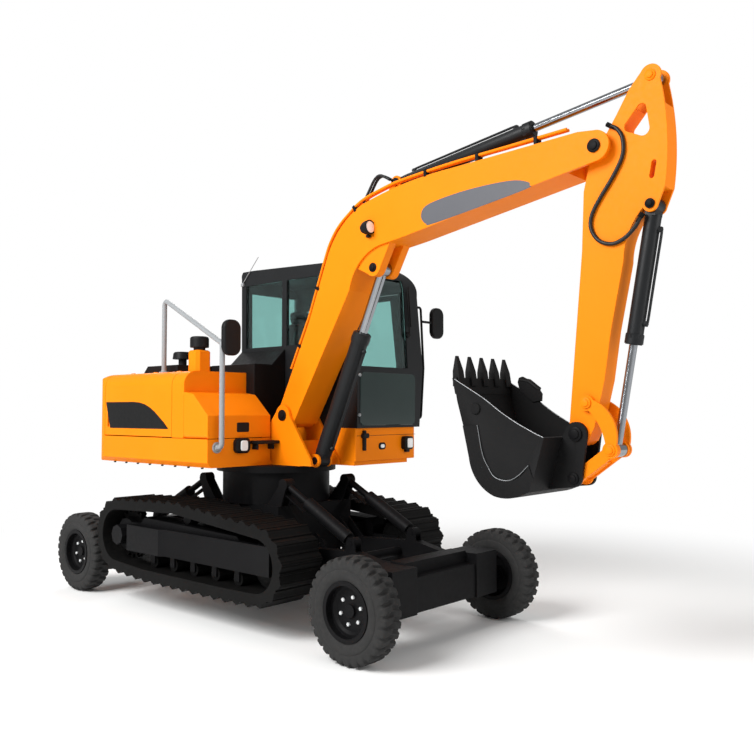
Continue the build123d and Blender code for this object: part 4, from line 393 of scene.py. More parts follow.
# Moulded black plastic: fine grain, soft shine.
PLASTIC = Finish(
    "moulded_black_plastic", "#0C0C0D", 0.5, gloss=0.18, surface=Surface.GRAINED, grain_mm=1.6, tone=0.1
)
# Embossed seat vinyl: black, soft, with a leather grain.
VINYL = Finish("black_seat_vinyl", "#191A1C", 0.55, surface=Surface.GRAINED, grain_mm=3, relief_mm=0.2)
# Bright-plated wheel studs: pale points on the dark rims.
STUD_STEEL = Finish("bright_stud_steel", "#D4D6D7", 0.4, metallic=0.2)
# Steel worn bare along the bucket's edges and weld beads: dull and patchy.
WORN_STEEL = Finish("worn_bare_steel", "#77797B", 0.42, metallic=0.7, tone=0.35, grain_mm=3)
# Zinc-plated bolt steel: a greyish satin metal.
BOLT_STEEL = Finish("zinc_bolt_steel", "#8E9092", 0.36, metallic=0.9, surface=Surface.TURNED, tone=0.1)
# Plain grey vinyl film on the boom: flat and even.
STRIPE_GREY = Finish("grey_panel_film", "#56575C", 0.45, gloss=0.25, tone=0.06)
# Dark tinted pane below the windscreen: polished, a deep green-grey.
DARK_PANE = Finish("dark_tinted_pane", "#22312F", 0.16, coat=0.3, surface=Surface.POLISHED)
# Green-tinted safety glass of the cab: clear and smooth.
GLASS = Glazing("green_safety_glass", "#B2D6D2")
# Ribbed white lamp lens over a bright reflector.
LENS = Finish("white_lamp_lens", "#F4F5F4", 0.25, coat=0.4, surface=Surface.MOULDED, grain_mm=4, tone=0.02)
# Moulded amber cap of the roof beacon: half clear, a little rough.
AMBER = Glazing("amber_beacon_lens", "#E9A23C", 0.12, 0.6)


def finished(
    name: str, mesh: bpy.types.Mesh, finish: Finish | Glazing, body: str, smooth_deg: float
) -> bpy.types.Object:
    """Shade a mesh, give it its finish and let it ride on its body.

    Args:
        name: the piece's name.
        mesh: its mesh, in the row frame.
        finish: its finish.
        body: the body that it rides on.
        smooth_deg: edges flatter than this are shaded smooth.

    Returns:
        The piece.
    """
    mesh.polygons.foreach_set("use_smooth", np.ones(len(mesh.polygons), bool))
    mesh.set_sharp_from_angle(angle=math.radians(smooth_deg))
    mesh.materials.clear()
    mesh.materials.append(finish.build())
    piece = bpy.data.objects.new(name, mesh)
    bpy.context.scene.collection.objects.link(piece)
    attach(piece, body)
    log.info("%s: %d faces", name, len(mesh.polygons))
    return piece


def put(
    name: str, shapes: list[Shape], finish: Finish | Glazing, body: str, smooth_deg: float = 35.0
) -> bpy.types.Object:
    """Join computed shapes into one mesh, with its faces outwards, and finish it as a piece.

    Args:
        name: the piece's name.
        shapes: points in the row frame and faces of each shape.
        finish: its finish.
        body: the body that it rides on.
        smooth_deg: edges flatter than this are shaded smooth.

    Returns:
        The piece.
    """
    faces, base = [], 0
    for points, theirs in shapes:
        faces.extend([[base + k for k in face] for face in theirs])
        base += len(points)
    mesh = bpy.data.meshes.new(name)
    mesh.from_pydata(np.vstack([points for points, _ in shapes]).tolist(), [], faces)
    mesh.update()
    work = bmesh.new()
    work.from_mesh(mesh)
    bmesh.ops.recalc_face_normals(work, faces=work.faces)
    work.to_mesh(mesh)
    work.free()
    return finished(name, mesh, finish, body, smooth_deg)


def grid_faces(rows: int, columns: int, close_rows: bool = False) -> list:
    """Number the quads of a grid of points whose last column joins the first.

    Args:
        rows: points along the first direction.
        columns: points along the second.
        close_rows: whether the last row joins the first too.

    Returns:
        Four vertex numbers for each quad.
    """
    i, j = np.meshgrid(np.arange(rows if close_rows else rows - 1), np.arange(columns), indexing="ij")
    i, j = i.ravel(), j.ravel()
    k, m = (i + 1) % rows, (j + 1) % columns
    return np.stack([i * columns + j, k * columns + j, k * columns + m, i * columns + m], 1).tolist()


def capped(points: np.ndarray) -> Shape:
    """Close a tube of rings: quads from ring to ring, and one face over each end.

    Args:
        points: rings by points by three.

    Returns:
        The points and the faces.
    """
    rows, columns = points.shape[:2]
    last = (rows - 1) * columns
    ends = [list(range(columns))[::-1], list(range(last, last + columns))]
    return points.reshape(-1, 3), grid_faces(rows, columns) + ends


def unit(vectors: np.ndarray) -> np.ndarray:
    """Scale each vector to a length of one."""
    return vectors / np.maximum(np.linalg.norm(vectors, axis=-1, keepdims=True), 1e-12)


def cubic(
    before: np.ndarray, start: np.ndarray, end: np.ndarray, after: np.ndarray, per_run: int
) -> np.ndarray:
    """Fill each run of a Catmull-Rom curve.

    Between start and end the point is a cubic in t, from 0 to 1, whose slope at either one is
    half the chord of that corner's neighbours.

    Args:
        before: the corner before each run.
        start: the corner that the run leaves.
        end: the corner that it reaches.
        after: the corner after it.
        per_run: how many points lie on each run.

    Returns:
        The points of all the runs, in order.
    """
    t = np.linspace(0, 1, per_run, endpoint=False)[None, :, None]
    a, b, c, d = (corner[:, None, :] for corner in (before, start, end, after))
    curve = 0.5 * (
        2 * b + (c - a) * t + (2 * a - 5 * b + 4 * c - d) * t**2 + (3 * b - a - 3 * c + d) * t**3
    )
    return curve.reshape(-1, start.shape[1])


def smooth_path(corners: np.ndarray, per_run: int) -> np.ndarray:
    """Carry an open Catmull-Rom curve through the corners, with its ends drawn on straight.

    Args:
        corners: the points that the curve passes through.
        per_run: how many points lie on each run.

    Returns:
        The curve's points.
    """
    ends = np.vstack([2 * corners[0] - corners[1], corners, 2 * corners[-1] - corners[-2]])
    runs = (ends[k:len(ends) - 3 + k] for k in range(4))
    return np.vstack([cubic(*runs, per_run), corners[-1:]])


def smooth_loop(corners: np.ndarray, per_run: int) -> np.ndarray:
    """Carry a closed Catmull-Rom curve through the corners.

    Args:
        corners: the points that the curve passes through, in order round it.
        per_run: how many points lie on each run.

    Returns:
        The curve's points.
    """
    return cubic(*(np.roll(corners, shift, 0) for shift in (1, 0, -1, -2)), per_run)


def carried(path: np.ndarray, profile: np.ndarray) -> Shape:
    """Carry a closed flat profile along a path, with both ends capped.

    The frame at each point is made of the path's direction and a side vector that starts
    square to it and is projected forward from point to point.

    Args:
        path: the points of the path.
        profile: two columns, sideways and upwards.

    Returns:
        The points and the faces.
    """
    along = unit(np.gradient(path, axis=0))
    start = square_to(along[0])
    ups = np.empty_like(path)
    up = unit(start - along[0] * (start @ along[0]))
    for k, direction in enumerate(along):
        up = unit(up - direction * (up @ direction))
        ups[k] = up
    across = np.cross(along, ups)
    return capped(
        path[:, None, :] + profile[None, :, 0:1] * across[:, None, :]
        + profile[None, :, 1:2] * ups[:, None, :]
    )


def square_to(direction: np.ndarray) -> np.ndarray:
    """Choose the axis to measure from: up, or ahead where the direction itself is nearly upright."""
    return UP if abs(direction[2]) < 0.9 else AHEAD


def ring(radius: float, sides: int) -> np.ndarray:
    """A round profile: cosine and sine of evenly spaced angles, times the radius."""
    angle = np.linspace(0, 2 * math.pi, sides, endpoint=False)
    return radius * np.stack([np.cos(angle), np.sin(angle)], 1)


def turned(section: Line, centre: np.ndarray, axis: np.ndarray, sides: int) -> Shape:
    """Turn a section about an axis: each point goes round a circle of its own radius.

    Args:
        section: distance along the axis and radius of each point, from one end to the other.
        centre: a point on the axis.
        axis: the axis' direction.
        sides: how many steps make the circle.

    Returns:
        The points and the faces, with both ends capped.
    """
    section = np.array(section)
    axis = unit(axis)
    side = unit(np.cross(axis, square_to(axis)))
    other = np.cross(axis, side)
    angle = np.linspace(0, 2 * math.pi, sides, endpoint=False)
    spoke = np.cos(angle)[None, :, None] * side + np.sin(angle)[None, :, None] * other
    return capped(centre + section[:, 0, None, None] * axis + section[:, 1, None, None] * spoke)


def block(centre: np.ndarray, size: tuple[float, float, float], edge: float) -> Shape:
    """A block with chamfered edges: a rectangle with cut corners, drawn in at both ends.

    Args:
        centre: its middle.
        size: its three sizes.
        edge: the chamfer, which is never more than a quarter of a size.

    Returns:
        The points and the faces.
    """
    hx, hy, hz = size[0] / 2, size[1] / 2, size[2] / 2
    edge = min(edge, hx / 2, hy / 2, hz / 2)

    def layer(inset: float, z: float) -> list:
        """Give the eight corners at one height.

        Args:
            inset: how far they are drawn in.
            z: their height from the middle.

        Returns:
            The corners, anticlockwise seen from above.
        """
        a, b = hx - inset, hy - inset
        return [
            (a - edge, -b, z), (a, -b + edge, z), (a, b - edge, z), (a - edge, b, z),
            (-a + edge, b, z), (-a, b - edge, z), (-a, -b + edge, z), (-a + edge, -b, z),
        ]

    rows = [layer(edge, -hz), layer(0, -hz + edge), layer(0, hz - edge), layer(edge, hz)]
    return capped(np.array(rows) + centre)


def slab(
    outline: Line | np.ndarray, origin: np.ndarray, u: np.ndarray, v: np.ndarray, thick: float, edge: float
) -> Shape:
    """A flat plate with a chamfered front edge: an outline in the plane of u and v, raised along u x v.

    Args:
        outline: measured along u and v, anticlockwise.
        origin: where the outline's zero lies.
        u: the first direction.
        v: the second direction.
        thick: the plate's thickness.
        edge: how far the front face is drawn in.

    Returns:
        The points and the faces.
    """
    outline = np.array(outline)
    normal = np.cross(u, v)
    along = unit(np.roll(outline, -1, 0) - np.roll(outline, 1, 0))
    inward = np.stack([-along[:, 1], along[:, 0]], 1) * edge
    rows = ((outline, 0.0), (outline, thick - min(edge, thick / 2)), (outline + inward, thick))
    return capped(np.stack([
        origin + flat[:, :1] * u + flat[:, 1:] * v + height * normal for flat, height in rows
    ]))


def rounded(width: float, height: float, radius: float, per_corner: int = 6) -> np.ndarray:
    """A rectangle with round corners: four quarter circles joined by straight sides.

    Args:
        width: its size along the first direction.
        height: its size along the second.
        radius: the corners' radius.
        per_corner: points on each quarter circle.

    Returns:
        The outline, anticlockwise round its middle.
    """
    quarter = np.linspace(0, math.pi / 2, per_corner)
    centre = np.array([width / 2 - radius, height / 2 - radius])
    signs = np.array([(1, 1), (-1, 1), (-1, -1), (1, -1)])
    angle = quarter[None, :] + np.arange(4)[:, None] * math.pi / 2
    arcs = radius * np.stack([np.cos(angle), np.sin(angle)], -1)
    return (arcs + (signs * centre)[:, None, :]).reshape(-1, 2)


def front_plate(
    seat: np.ndarray, width: float, height: float, corner: float, thick: float, edge: float,
    v: np.ndarray = UP,
) -> Shape:
    """A plate with round corners that faces ahead: a slab of a rounded outline.

    Args:
        seat: the middle of its back.
        width: its size to the left.
        height: its size upwards.
        corner: its corners' radius.
        thick: its thickness.
        edge: how far its front is drawn in.
        v: its upward direction.

    Returns:
        The points and the faces.
    """
    return slab(rounded(width, height, corner), seat, LEFT, v, thick, edge)


def on_side(points: Line, y: float) -> np.ndarray:
    """Points given ahead and up, set on the upright plane at y, in the row frame."""
    flat = np.array(points)
    return np.stack([flat[:, 0] + SLEW_X, np.full(len(flat), y + SLEW_Y), flat[:, 1]], 1)


def pin_end(place: np.ndarray, outward: float, radius: float, reach: float) -> Shape:
    """A pin's end: a flanged disc with a raised middle, turned about a line across the machine.

    Args:
        place: the middle of its seat.
        outward: plus one for the left side, minus one for the right.
        radius: the flange's radius.
        reach: how far it stands out.

    Returns:
        The points and the faces.
    """
    section = (
        (0.0, radius), (reach * 0.35, radius), (reach * 0.45, radius * 0.92), (reach * 0.5, radius * 0.66),
        (reach * 0.9, radius * 0.62), (reach, radius * 0.5),
    )
    return turned(section, place, LEFT * outward, 28)


def bolt(seat: np.ndarray, outward: np.ndarray, radius: float) -> Shape:
    """A hexagon bolt head: a six-sided section turned about the bolt's line.

    Args:
        seat: the middle of its seat.
        outward: the direction that it points in.
        radius: the head's radius to its corners.

    Returns:
        The points and the faces.
    """
    head = (
        (0.0, radius), (radius * 0.75, radius), (radius * 0.9, radius * 0.86),
        (radius * 0.92, radius * 0.3),
    )
    return turned(head, seat, outward, 6)


@dataclass
class Bodywork:
    """The rigid pieces of the frame, copied, cleaned and given soft edges and a finish."""

    rows: tuple = (
        # nodes, finish, record slot, edge in millimetres
        (("deck", "counterweight", "house_cover", "right_door", "left_door", "tank", "cab_base"),
         ORANGE, "orange_paint", 4.0),
        (("boom", "stick"), ORANGE, "orange_paint", 4.0),
        (("rocker", "link"), ORANGE, "orange_paint", 3.0),
        (("centre_frame", "track_frame_left", "track_frame_right"), CHASSIS, "black_paint", 4.0),
        (("front_lift_frame", "rear_lift_frame", "knuckle_left", "knuckle_right"),
         CHASSIS, "black_paint", 4.0),
        (("front_lift_barrels", "rear_lift_barrels", "tie_rod"), CHASSIS, "black_paint", 2.0),
        (("boom_barrel", "arm_barrel", "bucket_barrel"), CAB_ENAMEL, "black_paint", 2.0),
        (("front_lift_rods", "rear_lift_rods"), CHASSIS, "rod_chrome", 1.5),
        (("boom_rod", "arm_rod", "bucket_rod"), ROD_CHROME, "rod_chrome", 1.5),
        (("rollers_left", "rollers_right"), TRACK_STEEL, "worn_steel", 2.0),
        (("hood", "valve_cover", "stack_cap", "front_step"), PLASTIC, "black_paint", 5.0),
        (("intake_stack",), ORANGE, "orange_paint", 3.0),
        (("cab_shell", "cab_door"), CAB_ENAMEL, "grey_paint", 4.0),
        (("cab_glass", "door_glass"), GLASS, "cab_glass", 0.0),
        (("cab_console", "right_mirror", "left_mirror"), PLASTIC, "trim_plastic", 4.0),
        (("handrail",), RAIL_SILVER, "rail_steel", 0.0),
        (("left_rail",), CHASSIS, "rail_steel", 0.0),
        (("engine",), CHASSIS, "worn_steel", 6.0),
        (("bucket",), TOOL_PAINT, "black_paint", 3.0),
        (("roof_beacon",), AMBER, "beacon_amber", 6.0),
        (("rim_front_left", "rim_front_right", "rim_rear_left", "rim_rear_right"), CHASSIS, "rim_paint", 2.0),
        (("track_left", "track_right"), TRACK_STEEL, "track_steel", 2.0),
    )
    # Corners nearer than this are one, and faces that meet flatter than this angle are one.
    weld: float = 2e-5
    flat_deg: float = 0.6
    smooth_deg: float = 28
    bevel_deg: float = 32

    def dress(self, node: str, finish: Finish | Glazing, edge_mm: float) -> None:
        """Give one piece its soft edges and its finish.

        Args:
            node: the piece's name in the frame.
            finish: its finish.
            edge_mm: how far its sharp edges are rounded.
        """
        name = f"{node}_skin"
        work = bmesh.new()
        work.from_mesh(frame_nodes[node].data)
        bmesh.ops.remove_doubles(work, verts=work.verts, dist=self.weld)
        bmesh.ops.dissolve_limit(
            work, angle_limit=math.radians(self.flat_deg), verts=work.verts, edges=work.edges
        )
        mesh = bpy.data.meshes.new(name)
        work.to_mesh(mesh)
        work.free()
        piece = finished(name, mesh, finish, node_body[node], self.smooth_deg)
        if edge_mm > 0:
            bevel = piece.modifiers.new("soft_edges", "BEVEL")
            bevel.width = edge_mm / 1000
            bevel.segments = 2
            bevel.limit_method = "ANGLE"
            bevel.angle_limit = math.radians(self.bevel_deg)
            bevel.harden_normals = True
        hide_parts(node)

    def build(self) -> None:
        """Dress every rigid piece."""
        for nodes, finish, slot, edge_mm in self.rows:
            for node in nodes:
                self.dress(node, finish, edge_mm)


@dataclass
class Tyres:
    """Four road tyres with staggered blocks, a sidewall rib and rounded shoulders."""

    places: tuple = (
        # name, ahead, left
        ("front_left", 1.94, 0.947), ("front_right", 1.94, -0.947),
        ("rear_left", -1.96, 0.947), ("rear_right", -1.96, -0.947),
    )
    axle_z: float = 0.4
    width: float = 0.214
    half_profile: tuple = (
        # inset from the side, radius, share of the tread's depth, from the bead to the crown
        (0.024, 0.2035, 0.0), (0.018, 0.226, 0.0), (0.006, 0.245, 0.0), (0.0, 0.268, 0.0), (0.0, 0.295, 0.0),
        (0.002, 0.305, 0.0), (0.006, 0.309, 0.0), (0.004, 0.325, 0.0), (0.006, 0.345, 0.35),
        (0.008, 0.362, 0.8), (0.012, 0.380, 1.0), (0.020, 0.391, 1.0), (0.034, 0.396, 1.0),
        (0.05, 0.398, 1.0), (0.065, 0.398, 1.0), (0.08, 0.398, 1.0), (0.095, 0.398, 1.0),
    )
    around: int = 600
    blocks: int = 30
    tread_depth: float = 0.019
    # The blocks lean by this many pitches for each metre from the middle.
    lean: float = 3.0
    # The grooves lie where the wave round the tyre is above this level, with walls this steep.
    groove_level: float = 0.45
    groove_walls: float = 14
    # Half the width of the middle groove, and its share of the tread's depth.
    middle_half: float = 0.008
    middle_share: float = 0.7

    def section(self) -> np.ndarray:
        """The outline across, from the left bead over the crown to the right bead.

        Returns:
            Columns of distance across, radius, and how much of the tread's depth acts there.
        """
        left = np.array(self.half_profile)
        left[:, 0] = self.width / 2 - left[:, 0]
        return np.vstack([left, left[::-1] * [-1, 1, 1]])

    def build(self) -> None:
        """Make the four tyres.

        The radius is the section's, less the tread's depth in the grooves: a wave round the tyre,
        made nearly square by a logistic curve, and shifted half a block beyond the middle groove.
        """
        across, reach, share = (column[:, None] for column in self.section().T)
        angle = np.linspace(0, 2 * math.pi, self.around, endpoint=False)[None, :]
        shift = np.where(across > 0, 0.0, 0.5)
        phase = angle / (2 * math.pi) * self.blocks + shift + np.abs(across) * self.lean
        wave = np.cos(2 * math.pi * phase)
        groove = 1 / (1 + np.exp(-(wave - self.groove_level) * self.groove_walls))
        middle = np.exp(-(across / self.middle_half) ** 4)
        radius = reach - self.tread_depth * np.maximum(groove, self.middle_share * middle) * share
        faces = grid_faces(len(across), self.around, close_rows=True)
        for name, x, y in self.places:
            centre = spot(x, y, self.axle_z)
            points = np.stack([
                centre[0] + radius * np.cos(angle), np.broadcast_to(centre[1] + across, radius.shape),
                centre[2] + radius * np.sin(angle),
            ], -1).reshape(-1, 3)
            piece = put(f"tyre_skin_{name}", [(points, faces)], RUBBER, f"wheel_{name}", 50)
            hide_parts(f"tyre_{name}")


@dataclass
class ShoeRibs:
    """Slim ribs across every track shoe: one along its broad bar and one between two bars."""

    pulleys: tuple = (
        # ahead, up, radius of the belt's outer face: sprocket, idler, carrier, first and last roller
        (-1.175, 0.655, 0.331), (0.925, 0.610, 0.306), (-0.230, 0.882, 0.140),
        (-0.700, 0.440, 0.146), (0.560, 0.440, 0.146),
    )
    shoes: int = 41
    half_width: float = 0.225
    track_y: float = 0.825
    bar_height: float = 0.024
    # The corners of a bar's top stand higher than this share of its height.
    top_share: float = 0.8
    ribs: tuple = (
        # share of a shoe's pitch from its bar's middle, height of the rib's seat over the plate
        (0.0, 0.022), (0.5, -0.002),
    )
    rib_foot: float = 0.013
    rib_head: float = 0.007
    rib_height: float = 0.011
    rim_steps: int = 720
    belt_steps: int = 3000
    # The belt's direction is read over this way.
    glance: float = 0.002

    def hull(self) -> tuple[np.ndarray, np.ndarray]:
        """Walk round the belt: the lower and upper chains of the convex hull of the pulleys' rims.

        Returns:
            The line's points at even steps, with the first repeated at the end, and the way to each.
        """
        rims = np.vstack([ring(radius, self.rim_steps) + (x, z) for x, z, radius in self.pulleys])
        ordered = rims[np.lexsort((rims[:, 1], rims[:, 0]))]
        chains = []
        for points in (ordered, ordered[::-1]):
            chain: list = []
            for point in points:
                while len(chain) > 1:
                    (ax, az), (bx, bz) = chain[-1] - chain[-2], point - chain[-1]
                    if ax * bz - az * bx > 0:
                        break
                    chain.pop()
                chain.append(point)
            chains.append(np.array(chain[:-1]))
        corners = np.vstack([*chains, chains[0][:1]])
        way = np.concatenate([[0.0], np.cumsum(np.linalg.norm(np.diff(corners, axis=0), axis=1))])
        even = np.linspace(0, way[-1], self.belt_steps)
        return np.stack([np.interp(even, way, corners[:, k]) for k in (0, 1)], 1), even

    def bar_phase(self, closed: np.ndarray, length: np.ndarray, pitch: float) -> float:
        """Find where the shoes' broad bars stand on the belt, from the track's own corners.

        Args:
            closed: the belt line's points, with the first repeated at the end.
            length: the way along the belt to each of them.
            pitch: the way from one shoe to the next.

        Returns:
            The way to the middle of a bar: the circular mean of the bar tops' ways, over one pitch.
        """
        mesh = frame_nodes["track_right"].data
        corners = np.array([vertex.co[:] for vertex in mesh.vertices])
        flat = np.unique(np.round(corners[:, [0, 2]] - [SLEW_X, 0.0], 5), axis=0)
        gaps = np.linalg.norm(flat[:, None, :] - closed[None, :, :], axis=2)
        near = gaps.argmin(1)
        middle = closed.mean(0)
        outside = np.linalg.norm(flat - middle, axis=1) > np.linalg.norm(closed[near] - middle, axis=1)
        tops = outside & (gaps.min(1) > self.top_share * self.bar_height)
        turn = np.exp(2j * math.pi * length[near[tops]] / pitch).mean()
        return float(np.angle(turn)) / (2 * math.pi) * pitch

    def bars(self) -> np.ndarray:
        """Find each rib's four corners in the side view.

        Returns:
            One row of four points for each rib.
        """
        closed, length = self.hull()
        pitch = length[-1] / self.shoes
        start = self.bar_phase(closed, length, pitch)
        foot, head = self.rib_foot, self.rib_head
        rows = []
        for shoe in range(self.shoes):
            for share, seat in self.ribs:
                middle, top = start + (shoe + share) * pitch, seat + self.rib_height
                corner = []
                for step, height in ((-foot, seat), (-head, top), (head, top), (foot, seat)):
                    at = (middle + step) % length[-1]
                    here, ahead = (
                        np.array([np.interp(way % length[-1], length, closed[:, k]) for k in (0, 1)])
                        for way in (at, at + self.glance)
                    )
                    along = unit(ahead - here)
                    corner.append(here + height * np.array([along[1], -along[0]]))
                rows.append(corner)
        return np.array(rows)

    def build(self) -> None:
        """Lay the ribs across both tracks: each is an eight-cornered bar of six faces."""
        flat = self.bars()
        faces = np.array([(0, 1, 2, 3), (4, 7, 6, 5), (0, 4, 5, 1), (1, 5, 6, 2), (2, 6, 7, 3), (3, 7, 4, 0)])
        every = (faces[None, :, :] + 8 * np.arange(len(flat))[:, None, None]).reshape(-1, 4).tolist()
        for hand, outward in (("left", 1.0), ("right", -1.0)):
            sides = []
            for edge in (-self.half_width, self.half_width):
                across = np.full(flat.shape[:2], outward * self.track_y + edge + SLEW_Y)
                sides.append(np.stack([flat[..., 0] + SLEW_X, across, flat[..., 1]], -1))
            points = np.concatenate(sides, 1).reshape(-1, 3)
            body = node_body[f"track_{hand}"]
            put(f"shoe_ribs_{hand}", [(points, every)], TRACK_STEEL, body)


@dataclass
class BucketWear:
    """Worn edges and weld beads, a side cutter and two bosses on the bucket."""

    half: float = 0.370
    wear_plate: float = 0.008
    line_r: float = 0.0035
    bead: tuple = (
        (3.136, 1.495), (3.050, 1.418), (2.965, 1.380), (2.860, 1.398), (2.800, 1.470), (2.750, 1.570),
        (2.708, 1.770),
    )
    edge: tuple = (
        (2.500, 2.110), (2.600, 2.0545), (2.706, 1.995), (2.785, 1.948), (2.909, 1.863), (3.039, 1.788),
        (3.175, 1.722), (3.250, 1.691),
    )
    edge_sunk: float = 0.001
    cutter: tuple = (
        (2.622, 2.030), (2.600, 2.104), (2.612, 2.138), (2.640, 2.148), (2.700, 2.118), (2.790, 2.046),
        (2.816, 2.008), (2.812, 1.950), (2.740, 1.940),
    )
    cutter_thick: float = 0.030
    cutter_chamfer: float = 0.005
    bar: tuple = ((2.612, 2.122), (2.700, 2.106), (2.790, 2.040))
    bar_sunk: float = 0.010
    bar_r: float = 0.022
    boss_at: tuple = (2.690, 1.890)
    boss: tuple = ((0.0, 0.042), (0.008, 0.042), (0.012, 0.038), (0.012, 0.020))

    def build(self) -> None:
        """Make the bucket's wear and fittings."""
        lines = []
        for outward in (-1, 1):
            for line, out in ((self.bead, self.wear_plate), (self.edge, -self.edge_sunk)):
                path = on_side(line, TOOL_Y + outward * (self.half + out))
                lines.append(carried(smooth_path(path, 6), ring(self.line_r, 8)))
        put("bucket_worn_edges", lines, WORN_STEEL, "bucket")
        left = TOOL_Y + self.half
        plate = slab(self.cutter[::-1], spot(0, left, 0), AHEAD, UP, self.cutter_thick, self.cutter_chamfer)
        bar = carried(on_side(self.bar, left - self.bar_sunk), ring(self.bar_r, 16))
        ahead, up = self.boss_at
        bosses = [
            turned(self.boss, spot(ahead, TOOL_Y + outward * self.half, up), LEFT * outward, 28)
            for outward in (-1, 1)
        ]
        put("bucket_fittings", [plate, bar, *bosses], TOOL_PAINT, "bucket")


@dataclass
class DiggingGear:
    """Pins, pipes, hoses, the work lamp and the grey film of the boom and the stick."""

    dark_pins: tuple = (
        # body, ahead, up, half width at its seat, radius
        ("boom", 0.370, 1.830, 0.191, 0.052), ("boom", 1.462, 3.105, 0.134, 0.040),
        ("stick", 3.545, 3.713, 0.158, 0.048), ("boom", 1.664, 3.824, 0.070, 0.036),
        ("stick", 3.910, 3.262, 0.083, 0.034), ("bucket", 3.360, 1.712, 0.119, 0.050),
        ("link", 3.340, 1.400, 0.117, 0.040),
    )
    orange_pins: tuple = (
        ("stick", 3.923, 4.134, 0.080, 0.038), ("rocker", 3.440, 1.930, 0.117, 0.040),
        ("rocker", 3.615, 1.605, 0.113, 0.040),
    )
    pin_reach: float = 0.022
    pipe_y: tuple = (-0.209, -0.179)
    pipe_r: float = 0.012
    # The pipes' run lies along the clamps' seats, and the pipes themselves this far above it.
    stand_off: float = 0.016
    pipe_run: tuple = (
        (0.450, 2.260), (0.480, 2.315), (0.655, 2.660), (0.705, 2.762), (0.893, 3.228), (0.965, 3.380),
        (1.062, 3.503), (1.190, 3.600), (1.338, 3.688), (1.560, 3.748), (1.785, 3.785), (2.310, 3.826),
        (2.860, 3.847), (3.330, 3.866),
    )
    clamp_places: tuple = (
        # ahead, up, slope in degrees
        (0.560, 2.472, 63.0), (0.800, 2.985, 68.0), (1.262, 3.640, 33.0), (2.050, 3.805, 5.0),
        (2.560, 3.832, 2.0), (3.080, 3.853, 2.0),
    )
    # A clamp's length along the boom, its height, its width and how far it reaches below the run.
    clamp_long: float = 0.028
    clamp_high: float = 0.060
    clamp_wide: float = 0.068
    clamp_below: float = 0.026
    clamp_chamfer: float = 0.002
    arm_line: tuple = (
        (1.335, 3.690), (1.392, 3.770), (1.462, 3.868), (1.520, 3.896), (1.580, 3.874), (1.640, 3.838),
    )
    arm_line_y: tuple = (-0.186, -0.150)
    arm_line_r: float = 0.012
    bend: tuple = (
        (3.640, 3.846), (3.690, 3.812), (3.728, 3.738), (3.726, 3.620), (3.655, 3.488), (3.556, 3.352),
        (3.492, 3.240), (3.488, 3.145), (3.545, 3.058), (3.640, 3.022), (3.730, 3.048), (3.806, 3.112),
        (3.850, 3.178),
    )
    bend_y: float = -0.166
    bend_r: float = 0.014
    fitting: tuple = (
        (-0.030, 0.012), (-0.028, 0.019), (0.0, 0.019), (0.004, 0.015), (0.042, 0.015), (0.046, 0.012),
    )
    film: tuple = (
        (2.010, 3.470), (2.022, 3.425), (2.060, 3.390), (2.120, 3.378), (2.560, 3.438), (3.000, 3.506),
        (3.030, 3.530), (3.016, 3.556), (2.900, 3.590), (2.700, 3.600), (2.430, 3.592), (2.150, 3.560),
        (2.040, 3.525),
    )
    film_y: float = -0.2252
    film_thick: float = 0.0016
    film_chamfer: float = 0.0004
    lamp_at: tuple = (1.452, -0.268, 3.440)
    lamp_nod: float = 0.05
    lamp_shell: tuple = (
        (-0.055, 0.020), (-0.050, 0.038), (-0.020, 0.056), (0.030, 0.062), (0.040, 0.062), (0.042, 0.055),
        (0.034, 0.052),
    )
    lamp_lens: tuple = ((0.028, 0.0515), (0.038, 0.050), (0.044, 0.034), (0.046, 0.010))
    lamp_mounts: tuple = (
        # place from the lamp's middle, sizes, chamfer: bracket, arm
        ((-0.01, 0.028, -0.068), (0.040, 0.034, 0.020), 0.003),
        ((-0.012, 0.030, -0.030), (0.018, 0.012, 0.080), 0.002),
    )

    def pin_ends(self) -> None:
        """Put a flanged end on both sides of every pin."""
        for tone, pins, finish, slot in (
            ("dark", self.dark_pins, CHASSIS, "black_paint"),
            ("orange", self.orange_pins, ORANGE, "orange_paint"),
        ):
            by_body: dict = {}
            for body, ahead, up, half, radius in pins:
                for outward in (-1, 1):
                    seat = spot(ahead, TOOL_Y + outward * half, up)
                    by_body.setdefault(body, []).append(pin_end(seat, outward, radius, self.pin_reach))
            for body, shapes in by_body.items():
                put(f"{body}_{tone}_pin_ends", shapes, finish, body)

    def pipes(self) -> None:
        """Run two steel pipes along the boom's back in their clamps, with hoses over its ears."""
        tubes = []
        for y in self.pipe_y:
            run = smooth_path(on_side(self.pipe_run, y), 8)
            outward = np.cross(unit(np.gradient(run, axis=0)), LEFT)
            tubes.append(carried(run + self.stand_off * outward, ring(self.pipe_r, 12)))
        put("boom_pipes", tubes, ORANGE, "boom")
        middle = sum(self.pipe_y) / 2
        side = ((0, 0), (self.clamp_long, 0), (self.clamp_long, self.clamp_high), (0, self.clamp_high))
        clamps = []
        for ahead, up, slope in self.clamp_places:
            turn = math.radians(slope)
            u = math.cos(turn) * AHEAD + math.sin(turn) * UP
            v = -math.sin(turn) * AHEAD + math.cos(turn) * UP
            corner = spot(ahead, middle + self.clamp_wide / 2, up)
            corner = corner - u * self.clamp_long / 2 - v * self.clamp_below
            clamps.append(slab(side, corner, u, v, self.clamp_wide, self.clamp_chamfer))
        put("boom_pipe_clamps", clamps, CHASSIS, "boom")
        hoses = [
            carried(smooth_path(on_side(self.arm_line, y), 8), ring(self.arm_line_r, 12))
            for y in self.arm_line_y
        ]
        put("arm_cylinder_lines", hoses, HOSE_RUBBER, "boom")

